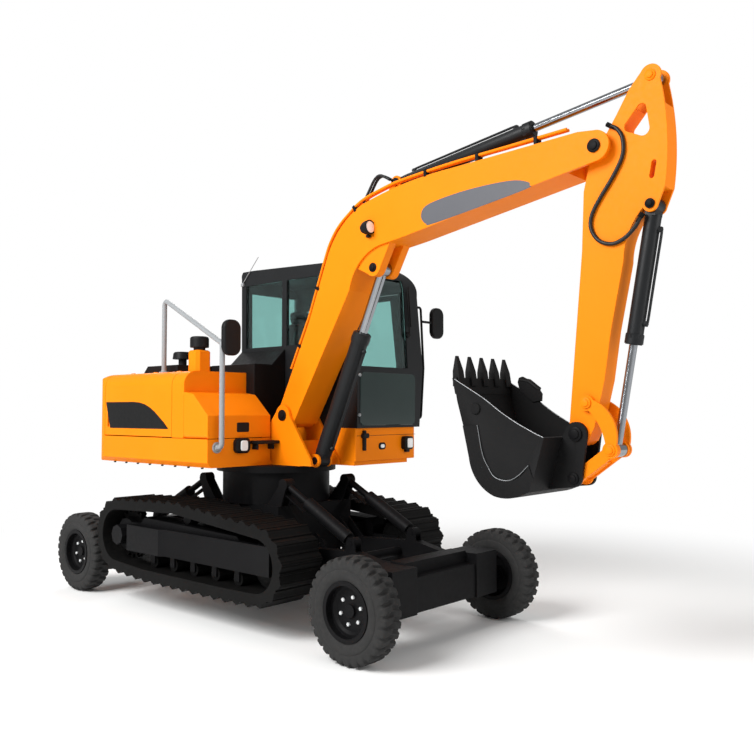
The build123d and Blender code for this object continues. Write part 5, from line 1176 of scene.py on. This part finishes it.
    def stick_line(self) -> None:
        """Lay the bucket cylinder's hose in one long bend on the stick's right side, with a fitting at each
        end.
        """
        path = smooth_path(on_side(self.bend, self.bend_y), 8)
        put("stick_line", [carried(path, ring(self.bend_r, 14))], HOSE_RUBBER, "stick")
        ends = on_side((*self.bend[:2], *self.bend[-2:]), self.bend_y)
        fittings = [
            turned(self.fitting, start, toward - start, 6)
            for start, toward in ((ends[0], ends[1]), (ends[3], ends[2]))
        ]
        put("stick_line_fittings", fittings, CHASSIS, "stick")

    def grey_film(self) -> None:
        """Lay the bare grey film on the boom's right side."""
        flat = smooth_loop(np.array(self.film), 6)
        film = slab(flat, spot(0, self.film_y, 0), AHEAD, UP, self.film_thick, self.film_chamfer)
        put("boom_grey_panel", [film], STRIPE_GREY, "boom")

    def lamp(self) -> None:
        """Hang the boom's work lamp on a bracket at its right side, facing ahead."""
        centre = spot(*self.lamp_at)
        aim = AHEAD + self.lamp_nod * UP
        mounts = [block(centre + np.array(place), size, edge) for place, size, edge in self.lamp_mounts]
        body = [turned(self.lamp_shell, centre, aim, 32), *mounts]
        put("boom_lamp_body", body, PLASTIC, "boom")
        put("boom_lamp_lens", [turned(self.lamp_lens, centre, aim, 32)], LENS, "boom")

    def build(self) -> None:
        """Make all the gear's fittings."""
        self.pin_ends()
        self.pipes()
        self.stick_line()
        self.grey_film()
        self.lamp()


@dataclass
class CylinderPipes:
    """A steel pipe, its two ports and a gland nut on each digging cylinder."""

    runs: tuple = (
        # body, foot, eye, barrel radius, head's distance from the foot, side of the pipe
        ("boom_barrel", (0.700, 1.415), (1.462, 3.105), 0.076, 1.260, 1.0),
        ("arm_barrel", (1.664, 3.824), (3.923, 4.134), 0.056, 1.327, -1.0),
        ("bucket_barrel", (3.910, 3.262), (3.615, 1.605), 0.056, 0.950, -1.0),
    )
    # How far the two ports stand from the cylinder's foot and from its head.
    foot_port: float = 0.16
    head_port: float = 0.15
    port_sunk: float = 0.004
    port: tuple = ((0.0, 0.022), (0.022, 0.022), (0.026, 0.018))
    pipe_off: float = 0.020
    pipe_r: float = 0.0095
    # A pipe starts at this share of the barrel's radius. Its next corners have come so far along
    # the barrel and are still so far below the run.
    pipe_root: float = 0.9
    leave: tuple = ((0.005, 0.006), (0.03, 0.0), (0.2, 0.0))
    # The gland nut's distance before the head, and its section beyond the barrel's radius.
    nut_back: float = 0.075
    nut: tuple = ((0.0, 0.0075), (0.002, 0.0095), (0.030, 0.0095), (0.032, 0.0075))

    def build(self) -> None:
        """Make the pipes, ports and nuts of the three cylinders."""
        for body, foot, eye, radius, head, hand in self.runs:
            start = spot(foot[0], TOOL_Y, foot[1])
            along = unit(spot(eye[0], TOOL_Y, eye[1]) - start)
            out = unit(np.cross(along, LEFT)) * -hand
            near, far, off = self.foot_port, head - self.head_port, radius + self.pipe_off
            # From each port the pipe leaves the barrel, turns and runs along it.
            leave = [(0.0, radius * self.pipe_root), *((step, off - below) for step, below in self.leave)]
            path = [start + along * (near + step) + out * height for step, height in leave]
            path += [start + along * (far - step) + out * height for step, height in leave[::-1]]
            pipe = carried(smooth_path(np.array(path), 6), ring(self.pipe_r, 10))
            ports = [
                turned(self.port, start + along * s + out * (radius - self.port_sunk), out, 6)
                for s in (near, far)
            ]
            section = tuple((step, radius + height) for step, height in self.nut)
            nut = turned(section, start + along * (head - self.nut_back), along, 8)
            put(f"{body}_pipe", [pipe, *ports, nut], CAB_ENAMEL, body)


@dataclass
class HouseTrim:
    """The dark fin, the lamps, the tank's pull, the rail's feet and the bolts of the house."""

    fin: tuple = (
        (-1.388, 1.703), (-0.384, 1.706), (-0.455, 1.762), (-0.540, 1.816), (-0.610, 1.862), (-0.684, 1.899),
        (-0.770, 1.930), (-0.870, 1.949), (-0.980, 1.955), (-1.470, 1.956),
    )
    fin_y: float = -1.0003
    fin_thick: float = 0.005
    fin_border: float = 0.004
    tank_x: float = 0.2203
    # Plates: left, up, and then width, height, corner, thickness and chamfer.
    front_lamp: tuple = (-0.6305, 1.556, 0.168, 0.140, 0.046, 0.052, 0.014)
    front_lens: tuple = (-0.6305, 1.556, 0.080, 0.094, 0.020, 0.010, 0.006)
    pull: tuple = (-0.604, 1.722, 0.142, 0.088, 0.014, 0.003, 0.002)
    cab_base_x: float = 0.9503
    base_lamp: tuple = (0.842, 1.558, 0.130, 0.128, 0.030, 0.060, 0.012)
    base_lens: tuple = (0.842, 1.558, 0.078, 0.092, 0.014, 0.008, 0.004)
    base_foot: tuple = ((0.02, 0.0, -0.076), (0.036, 0.050, 0.030), 0.004)
    flush_lamp: tuple = (0.494, 1.537, 0.098, 0.066, 0.028, 0.008, 0.004)
    flush_lens: tuple = (0.494, 1.537, 0.056, 0.034, 0.016, 0.003, 0.002)
    latch_bar: tuple = (0.232, 1.596, 0.030, 0.190, 0.012, 0.030, 0.006)
    latch_head: tuple = (0.236, 1.640, 0.076, 0.046, 0.016, 0.042, 0.006)
    seam: tuple = (0.570, 1.640, 0.850, 0.004, 0.0018, 0.0006, 0.0002)
    # A lens starts this far in front of its lamp's face.
    lens_gap: float = 0.0002
    front_foot: tuple = (-0.900, 1.545)
    top_foot: tuple = (-0.840, -0.745, 2.2425)
    flange: tuple = ((0.0, 0.050), (0.010, 0.050), (0.014, 0.046), (0.016, 0.030), (0.030, 0.026))
    flange_circle: float = 0.038
    flange_high: float = 0.010
    flange_angles: tuple = (0.6, 2.7, 4.8)
    rail_bolt_r: float = 0.008
    deck_bolt_ends: tuple = (-1.35, 0.10)
    deck_bolt_count: int = 8
    deck_bolt_y: float = -0.965
    deck_bolt_z: float = 1.3655
    deck_bolt_r: float = 0.013

    def plate(self, x: float, row: tuple) -> Shape:
        """Make a plate that faces ahead from its row of sizes."""
        return front_plate(spot(x, row[0], row[1]), *row[2:])

    def fin_panel(self) -> None:
        """Set the dark fin over the side door's slots, with a raised border."""
        origin = spot(0, self.fin_y, 0)
        plate = slab(self.fin, origin, AHEAD, UP, self.fin_thick, self.fin_border)
        border = carried(np.vstack([plate[0][:len(self.fin)], plate[0][:1]]), ring(self.fin_border, 8))
        put("door_fin_panel", [plate, border], PLASTIC, "right_door", 25)

    def tank_front(self) -> None:
        """Make the square lamp on the tank's front and, above it, the dark pull."""
        frame = self.plate(self.tank_x, self.front_lamp)
        put("front_lamp_frame", [frame], PLASTIC, "house")
        lens_x = self.tank_x + self.front_lamp[5] + self.lens_gap
        put("front_lamp_lens", [self.plate(lens_x, self.front_lens)], LENS, "house")
        put("tank_pull", [self.plate(self.tank_x, self.pull)], PLASTIC, "house")

    def rail_feet(self) -> None:
        """Bolt the handrail's feet down with round flanges."""
        ahead, top = spot(self.tank_x, *self.front_foot), spot(*self.top_foot)
        flanges = [turned(self.flange, ahead, AHEAD, 32), turned(self.flange, top, UP, 32)]
        put("rail_flanges", flanges, RAIL_SILVER, "house")
        bolts = []
        for angle in self.flange_angles:
            for foot, outward, second in ((ahead, AHEAD, UP), (top, UP, AHEAD)):
                around = self.flange_circle * (math.cos(angle) * LEFT + math.sin(angle) * second)
                bolts.append(bolt(foot + outward * self.flange_high + around, outward, self.rail_bolt_r))
        put("rail_bolts", bolts, BOLT_STEEL, "house")

    def floor_bolts(self) -> None:
        """Let the skirt's bolts hang below the deck's right edge."""
        heads = [
            bolt(spot(x, self.deck_bolt_y, self.deck_bolt_z), -UP, self.deck_bolt_r)
            for x in np.linspace(*self.deck_bolt_ends, self.deck_bolt_count)
        ]
        put("deck_bolts", heads, CHASSIS, "house")

    def cab_base_front(self) -> None:
        """Put the spot lamp, the flush lamp, the latch and the seam on the front of the cab's base."""
        x = self.cab_base_x
        place, size, edge = self.base_foot
        foot = block(spot(x, *self.base_lamp[:2]) + np.array(place), size, edge)
        lamp, flush, bar, head = (
            self.plate(x, row) for row in (self.base_lamp, self.flush_lamp, self.latch_bar, self.latch_head)
        )
        put("cab_base_fittings", [lamp, foot, flush, bar, head], PLASTIC, "house")
        lenses = [
            self.plate(x + lamp_row[5] + self.lens_gap, lens_row)
            for lamp_row, lens_row in ((self.base_lamp, self.base_lens), (self.flush_lamp, self.flush_lens))
        ]
        put("cab_base_lenses", lenses, LENS, "house")
        put("cab_base_seam", [self.plate(x, self.seam)], PLASTIC, "house")

    def build(self) -> None:
        """Make all the house's trim, in place of the plain lamps."""
        self.fin_panel()
        self.tank_front()
        self.rail_feet()
        self.floor_bolts()
        self.cab_base_front()
        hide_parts("work_lamps")


@dataclass
class CabTrim:
    """The cab's lower pane, its studs, the wiper, the door's handle, the antenna and the seat."""

    front_foot: tuple = (0.970, 1.712)
    front_head: tuple = (0.985, 3.040)
    pane_at: tuple = (0.560, 1.985)
    pane: tuple = (0.800, 0.500, 0.050, 0.009, 0.005)
    pane_gap: float = 0.0005
    stud: tuple = ((0.0, 0.016), (0.010, 0.016), (0.016, 0.011), (0.018, 0.004))
    stud_y: float = 0.150
    stud_heights: tuple = (2.205, 1.835)
    # Left, up and distance before the front wall.
    wiper_pivot: tuple = (0.840, 2.620, 0.004)
    wiper_tip: tuple = (0.800, 3.040, 0.020)
    blade_ends: tuple = ((0.868, 2.700, 0.022), (0.826, 3.100, 0.022))
    # How far the arm stands out of the wall at its pivot, and out of its own line at its middle.
    arm_lifts: tuple = (0.022, 0.016)
    arm_r: float = 0.007
    blade_r: float = 0.009
    hub: tuple = ((0.0, 0.030), (0.020, 0.030), (0.028, 0.020))
    handle_blocks: tuple = (
        # place, sizes, chamfer: the grip and its foot
        ((0.640, 1.098, 2.130), (0.150, 0.026, 0.036), 0.008),
        ((0.580, 1.084, 2.130), (0.030, 0.024, 0.044), 0.004),
    )
    lock_at: tuple = (0.680, 1.0755, 2.060)
    lock: tuple = ((0.0, 0.016), (0.008, 0.016), (0.010, 0.008))
    whip: tuple = ((-0.700, 0.112, 3.200), (-0.565, 0.111, 3.335), (-0.430, 0.110, 3.470))
    whip_r: float = 0.004
    whip_foot: tuple = ((-0.690, 0.116, 3.205), (0.040, 0.024, 0.036), 0.004)
    pads: tuple = (
        # name, middle, half sizes ahead, to the left and up, lean in radians, places of the channels
        ("seat_cushion", (0.065, 0.560, 2.160), (0.250, 0.250, 0.060), 0.03, (-0.15, 0.15)),
        ("seat_backrest", (-0.190, 0.560, 2.490), (0.052, 0.236, 0.300), -0.17, (-0.14, 0.14)),
        ("seat_headrest", (-0.258, 0.560, 2.845), (0.040, 0.130, 0.070), -0.17, ()),
    )
    pad_grid: tuple = (33, 64)
    # Small powers make the pad's sphere boxy.
    pad_power: float = 0.42
    channel_depth: float = 0.05
    channel_half: float = 0.007
    piping_out: float = 1.004
    piping_r: float = 0.005
    pedestal: tuple = (
        ((0.000, 0.560, 1.930), (0.300, 0.340, 0.350), 0.020),
        ((0.020, 0.560, 2.105), (0.400, 0.440, 0.030), 0.010),
    )

    def front(self, y: float, z: float, stand: float = 0.0) -> np.ndarray:
        """A point on the cab's front wall, which leans a little ahead towards its top."""
        share = (z - self.front_foot[1]) / (self.front_head[1] - self.front_foot[1])
        return spot(self.front_foot[0] + share * (self.front_head[0] - self.front_foot[0]) + stand, y, z)

    def lower_pane(self) -> None:
        """Lay the dark lower pane and its two pale studs on the front wall."""
        lean = unit(self.front(0, self.front_head[1]) - self.front(0, self.front_foot[1]))
        pane = front_plate(self.front(*self.pane_at, self.pane_gap), *self.pane, lean)
        put("front_lower_pane", [pane], DARK_PANE, "house")
        studs = [turned(self.stud, self.front(self.stud_y, z), AHEAD, 20) for z in self.stud_heights]
        put("pane_studs", studs, RAIL_SILVER, "house")

    def wiper(self) -> None:
        """Hang the wiper beside the windscreen's left edge."""
        pivot, tip = self.front(*self.wiper_pivot), self.front(*self.wiper_tip)
        low, high = (self.front(*end) for end in self.blade_ends)
        rise, bow = (AHEAD * lift for lift in self.arm_lifts)
        elbows = np.array([pivot, pivot + rise, (pivot + tip) / 2 + bow, tip])
        arm = carried(smooth_path(elbows, 6), ring(self.arm_r, 8))
        blade = carried(np.array([low, (low + high) / 2, high]), ring(self.blade_r, 8))
        hub = turned(self.hub, pivot - AHEAD * self.wiper_pivot[2], AHEAD, 24)
        put("wiper", [arm, blade, hub], PLASTIC, "house")

    def door_handle(self) -> None:
        """Put a pull handle and a lock on the cab door."""
        blocks = [block(spot(*place), size, edge) for place, size, edge in self.handle_blocks]
        lock = turned(self.lock, spot(*self.lock_at), LEFT, 20)
        put("cab_door_handle", [*blocks, lock], PLASTIC, "cab_door")

    def antenna(self) -> None:
        """Lean the thin whip antenna from its bracket on the cab's rear pillar."""
        whip = carried(np.array([spot(*place) for place in self.whip]), ring(self.whip_r, 8))
        place, size, edge = self.whip_foot
        put("cab_antenna", [whip, block(spot(*place), size, edge)], RAIL_SILVER, "house")

    def pad(
        self, name: str, centre: tuple, half: tuple, tilt: float, channels: tuple
    ) -> bpy.types.Object:
        """Make one crowned seat pad with sewn channels and a piped seam round its edge.

        The pad is a rounded box: on a unit sphere every coordinate is raised to a small power,
        keeping its sign, and then scaled to the pad's half sizes.

        Args:
            name: the piece's name.
            centre: its middle, measured from the slew axis.
            half: its half sizes ahead, to the left and up.
            tilt: how far it leans, in radians.
            channels: where across the pad the sewn channels lie.

        Returns:
            The piece.
        """
        rows, columns = self.pad_grid
        lat = np.linspace(-math.pi / 2, math.pi / 2, rows)[:, None]
        lon = np.linspace(0, 2 * math.pi, columns, endpoint=False)[None, :]
        sphere = np.stack([
            np.cos(lat) * np.cos(lon), np.cos(lat) * np.sin(lon),
            np.broadcast_to(np.sin(lat), (rows, columns)),
        ], -1)
        box = np.sign(sphere) * np.abs(sphere) ** self.pad_power * np.array(half)
        for place in channels:
            box *= 1 - self.channel_depth * np.exp(-((box[..., 1:2] - place) / self.channel_half) ** 2)
        turn = np.array([
            [math.cos(tilt), 0, math.sin(tilt)], [0, 1, 0], [-math.sin(tilt), 0, math.cos(tilt)],
        ])
        piping = box[rows // 2] * self.piping_out
        seam = carried(np.vstack([piping, piping[:1]]), ring(self.piping_r, 8))
        shapes = [(box.reshape(-1, 3), grid_faces(rows, columns)), seam]
        placed = [(points @ turn.T + spot(*centre), faces) for points, faces in shapes]
        piece = put(name, placed, VINYL, "house", 60)
        return piece

    def seat(self) -> None:
        """Put the driver's seat together: a cushion, a backrest, a headrest and a pedestal."""
        cushion, _, _ = (self.pad(*row) for row in self.pads)
        blocks = [block(spot(*place), size, edge) for place, size, edge in self.pedestal]
        put("seat_pedestal", blocks, PLASTIC, "house")
        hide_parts("cab_seat")

    def build(self) -> None:
        """Make the cab's trim and the seat."""
        self.lower_pane()
        self.wiper()
        self.door_handle()
        self.antenna()
        self.seat()


@dataclass
class WheelStuds:
    """Six bright studs on every road wheel."""

    count: int = 6
    circle: float = 0.105
    first: float = 0.3
    dish: float = 0.026
    radius: float = 0.015

    def build(self) -> None:
        """Make the studs of the four wheels."""
        tyres = Tyres()
        angle = np.arange(self.count) * math.pi / 3 + self.first
        for name, x, y in tyres.places:
            outward = math.copysign(1.0, y)
            face = spot(x, y + outward * self.dish, tyres.axle_z)
            spokes = [self.circle * (math.cos(a) * AHEAD + math.sin(a) * UP) for a in angle]
            studs = [bolt(face + spoke, LEFT * outward, self.radius) for spoke in spokes]
            put(f"wheel_studs_{name}", studs, STUD_STEEL, f"wheel_{name}")


@dataclass
class Stage:
    """The pale floor, the soft lamps and the camera of the photograph."""

    floor_size: float = 80
    floor_z: float = -0.001
    # The floor is lit up to the first distance from the middle, and plain white from the second.
    lit_reach: tuple = (3.2, 7.5)
    world_light: float = 0.40
    lamp_rows: tuple = (
        # name, place, watts
        ("key", (-1.0, -9.5, 8.0), 1550), ("fill", (9.5, 1.0, 5.0), 250), ("back", (-8.0, 5.0, 8.0), 380),
    )
    lamp_size: float = 6.0
    lamp_aim: tuple = (0, 0, 1.6)
    width_px: int = 754
    focal_px: float = 828.57
    sensor_mm: float = 36.0
    clip_end: float = 200
    eye: tuple = (6.202, -5.460, 1.882)
    look: tuple = (-0.6653, 0.7451, 0.0449)

    def floor(self) -> None:
        """Lay the pale floor, which turns to plain white away from the object."""
        bpy.ops.mesh.primitive_plane_add(size=self.floor_size, location=(0, 0, self.floor_z))
        floor = bpy.context.object
        floor.name = "floor"
        material, tree, place = blank_material("pale_floor")
        reach = add_node(tree, "ShaderNodeVectorMath", {0: place}, operation="LENGTH")
        far = add_node(
            tree, "ShaderNodeMapRange",
            {"Value": reach.outputs["Value"], "From Min": self.lit_reach[0], "From Max": self.lit_reach[1]},
            interpolation_type="SMOOTHSTEP",
        )
        near = add_node(tree, "ShaderNodeBsdfDiffuse", {"Color": linear("#FBFBFA")})
        white = add_node(tree, "ShaderNodeEmission", {"Color": linear("#FFFFFF"), "Strength": 1.0})
        shader = add_node(
            tree, "ShaderNodeMixShader", {0: far.outputs["Result"], 1: near.outputs[0], 2: white.outputs[0]}
        )
        add_node(tree, "ShaderNodeOutputMaterial", {"Surface": shader.outputs[0]})
        floor.data.materials.append(material)

    def lamps(self) -> None:
        """Hang the soft boxes, and light the world evenly, white where it is seen directly."""
        world = bpy.data.worlds.new("studio")
        bpy.context.scene.world = world
        world.use_nodes = True
        tree = world.node_tree
        tree.nodes.clear()
        path = add_node(tree, "ShaderNodeLightPath")
        seen = add_node(
            tree, "ShaderNodeMath",
            {0: path.outputs["Is Camera Ray"], 1: path.outputs["Is Transmission Ray"]}, operation="MAXIMUM",
        )
        strength = add_node(
            tree, "ShaderNodeMapRange", {"Value": seen.outputs[0], "To Min": self.world_light, "To Max": 1.0}
        )
        back = add_node(
            tree, "ShaderNodeBackground",
            {"Color": linear("#FFFFFF"), "Strength": strength.outputs["Result"]},
        )
        add_node(tree, "ShaderNodeOutputWorld", {"Surface": back.outputs[0]})
        for name, place, watts in self.lamp_rows:
            lamp = bpy.data.lights.new(name, "AREA")
            lamp.energy = watts
            lamp.size = self.lamp_size
            holder = bpy.data.objects.new(name, lamp)
            holder.location = place
            toward = Vector(self.lamp_aim) - Vector(place)
            holder.rotation_euler = toward.to_track_quat("-Z", "Y").to_euler()
            bpy.context.scene.collection.objects.link(holder)

    def camera(self) -> None:
        """Set the camera where the photograph was taken."""
        lens = bpy.data.cameras.new("photo_camera")
        lens.sensor_width = self.sensor_mm
        lens.sensor_fit = "HORIZONTAL"
        lens.lens = self.focal_px / self.width_px * lens.sensor_width
        lens.clip_end = self.clip_end
        holder = bpy.data.objects.new("photo_camera", lens)
        holder.location = Vector(spot(*self.eye).tolist())
        holder.rotation_euler = Vector(self.look).to_track_quat("-Z", "Y").to_euler()
        bpy.context.scene.collection.objects.link(holder)
        bpy.context.scene.camera = holder

    def build(self) -> None:
        """Set the whole stage."""
        self.floor()
        self.lamps()
        self.camera()
        bpy.context.scene.view_settings.view_transform = "Standard"


def main() -> None:
    """Load the frame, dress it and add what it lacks."""
    logging.basicConfig(level=logging.INFO, format="%(message)s")
    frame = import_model()
    frame_nodes.update(frame["nodes"])
    for body, nodes in frame["record"]["behaviour"]["bodies"].items():
        node_body.update({node: body for node in nodes})
    for assembly in (
        Stage(), Bodywork(), Tyres(), ShoeRibs(), BucketWear(), DiggingGear(), CylinderPipes(), HouseTrim(),
        CabTrim(), WheelStuds(),
    ):
        assembly.build()
        log.info("%s done", type(assembly).__name__)


if __name__ == "__main__":
    main()
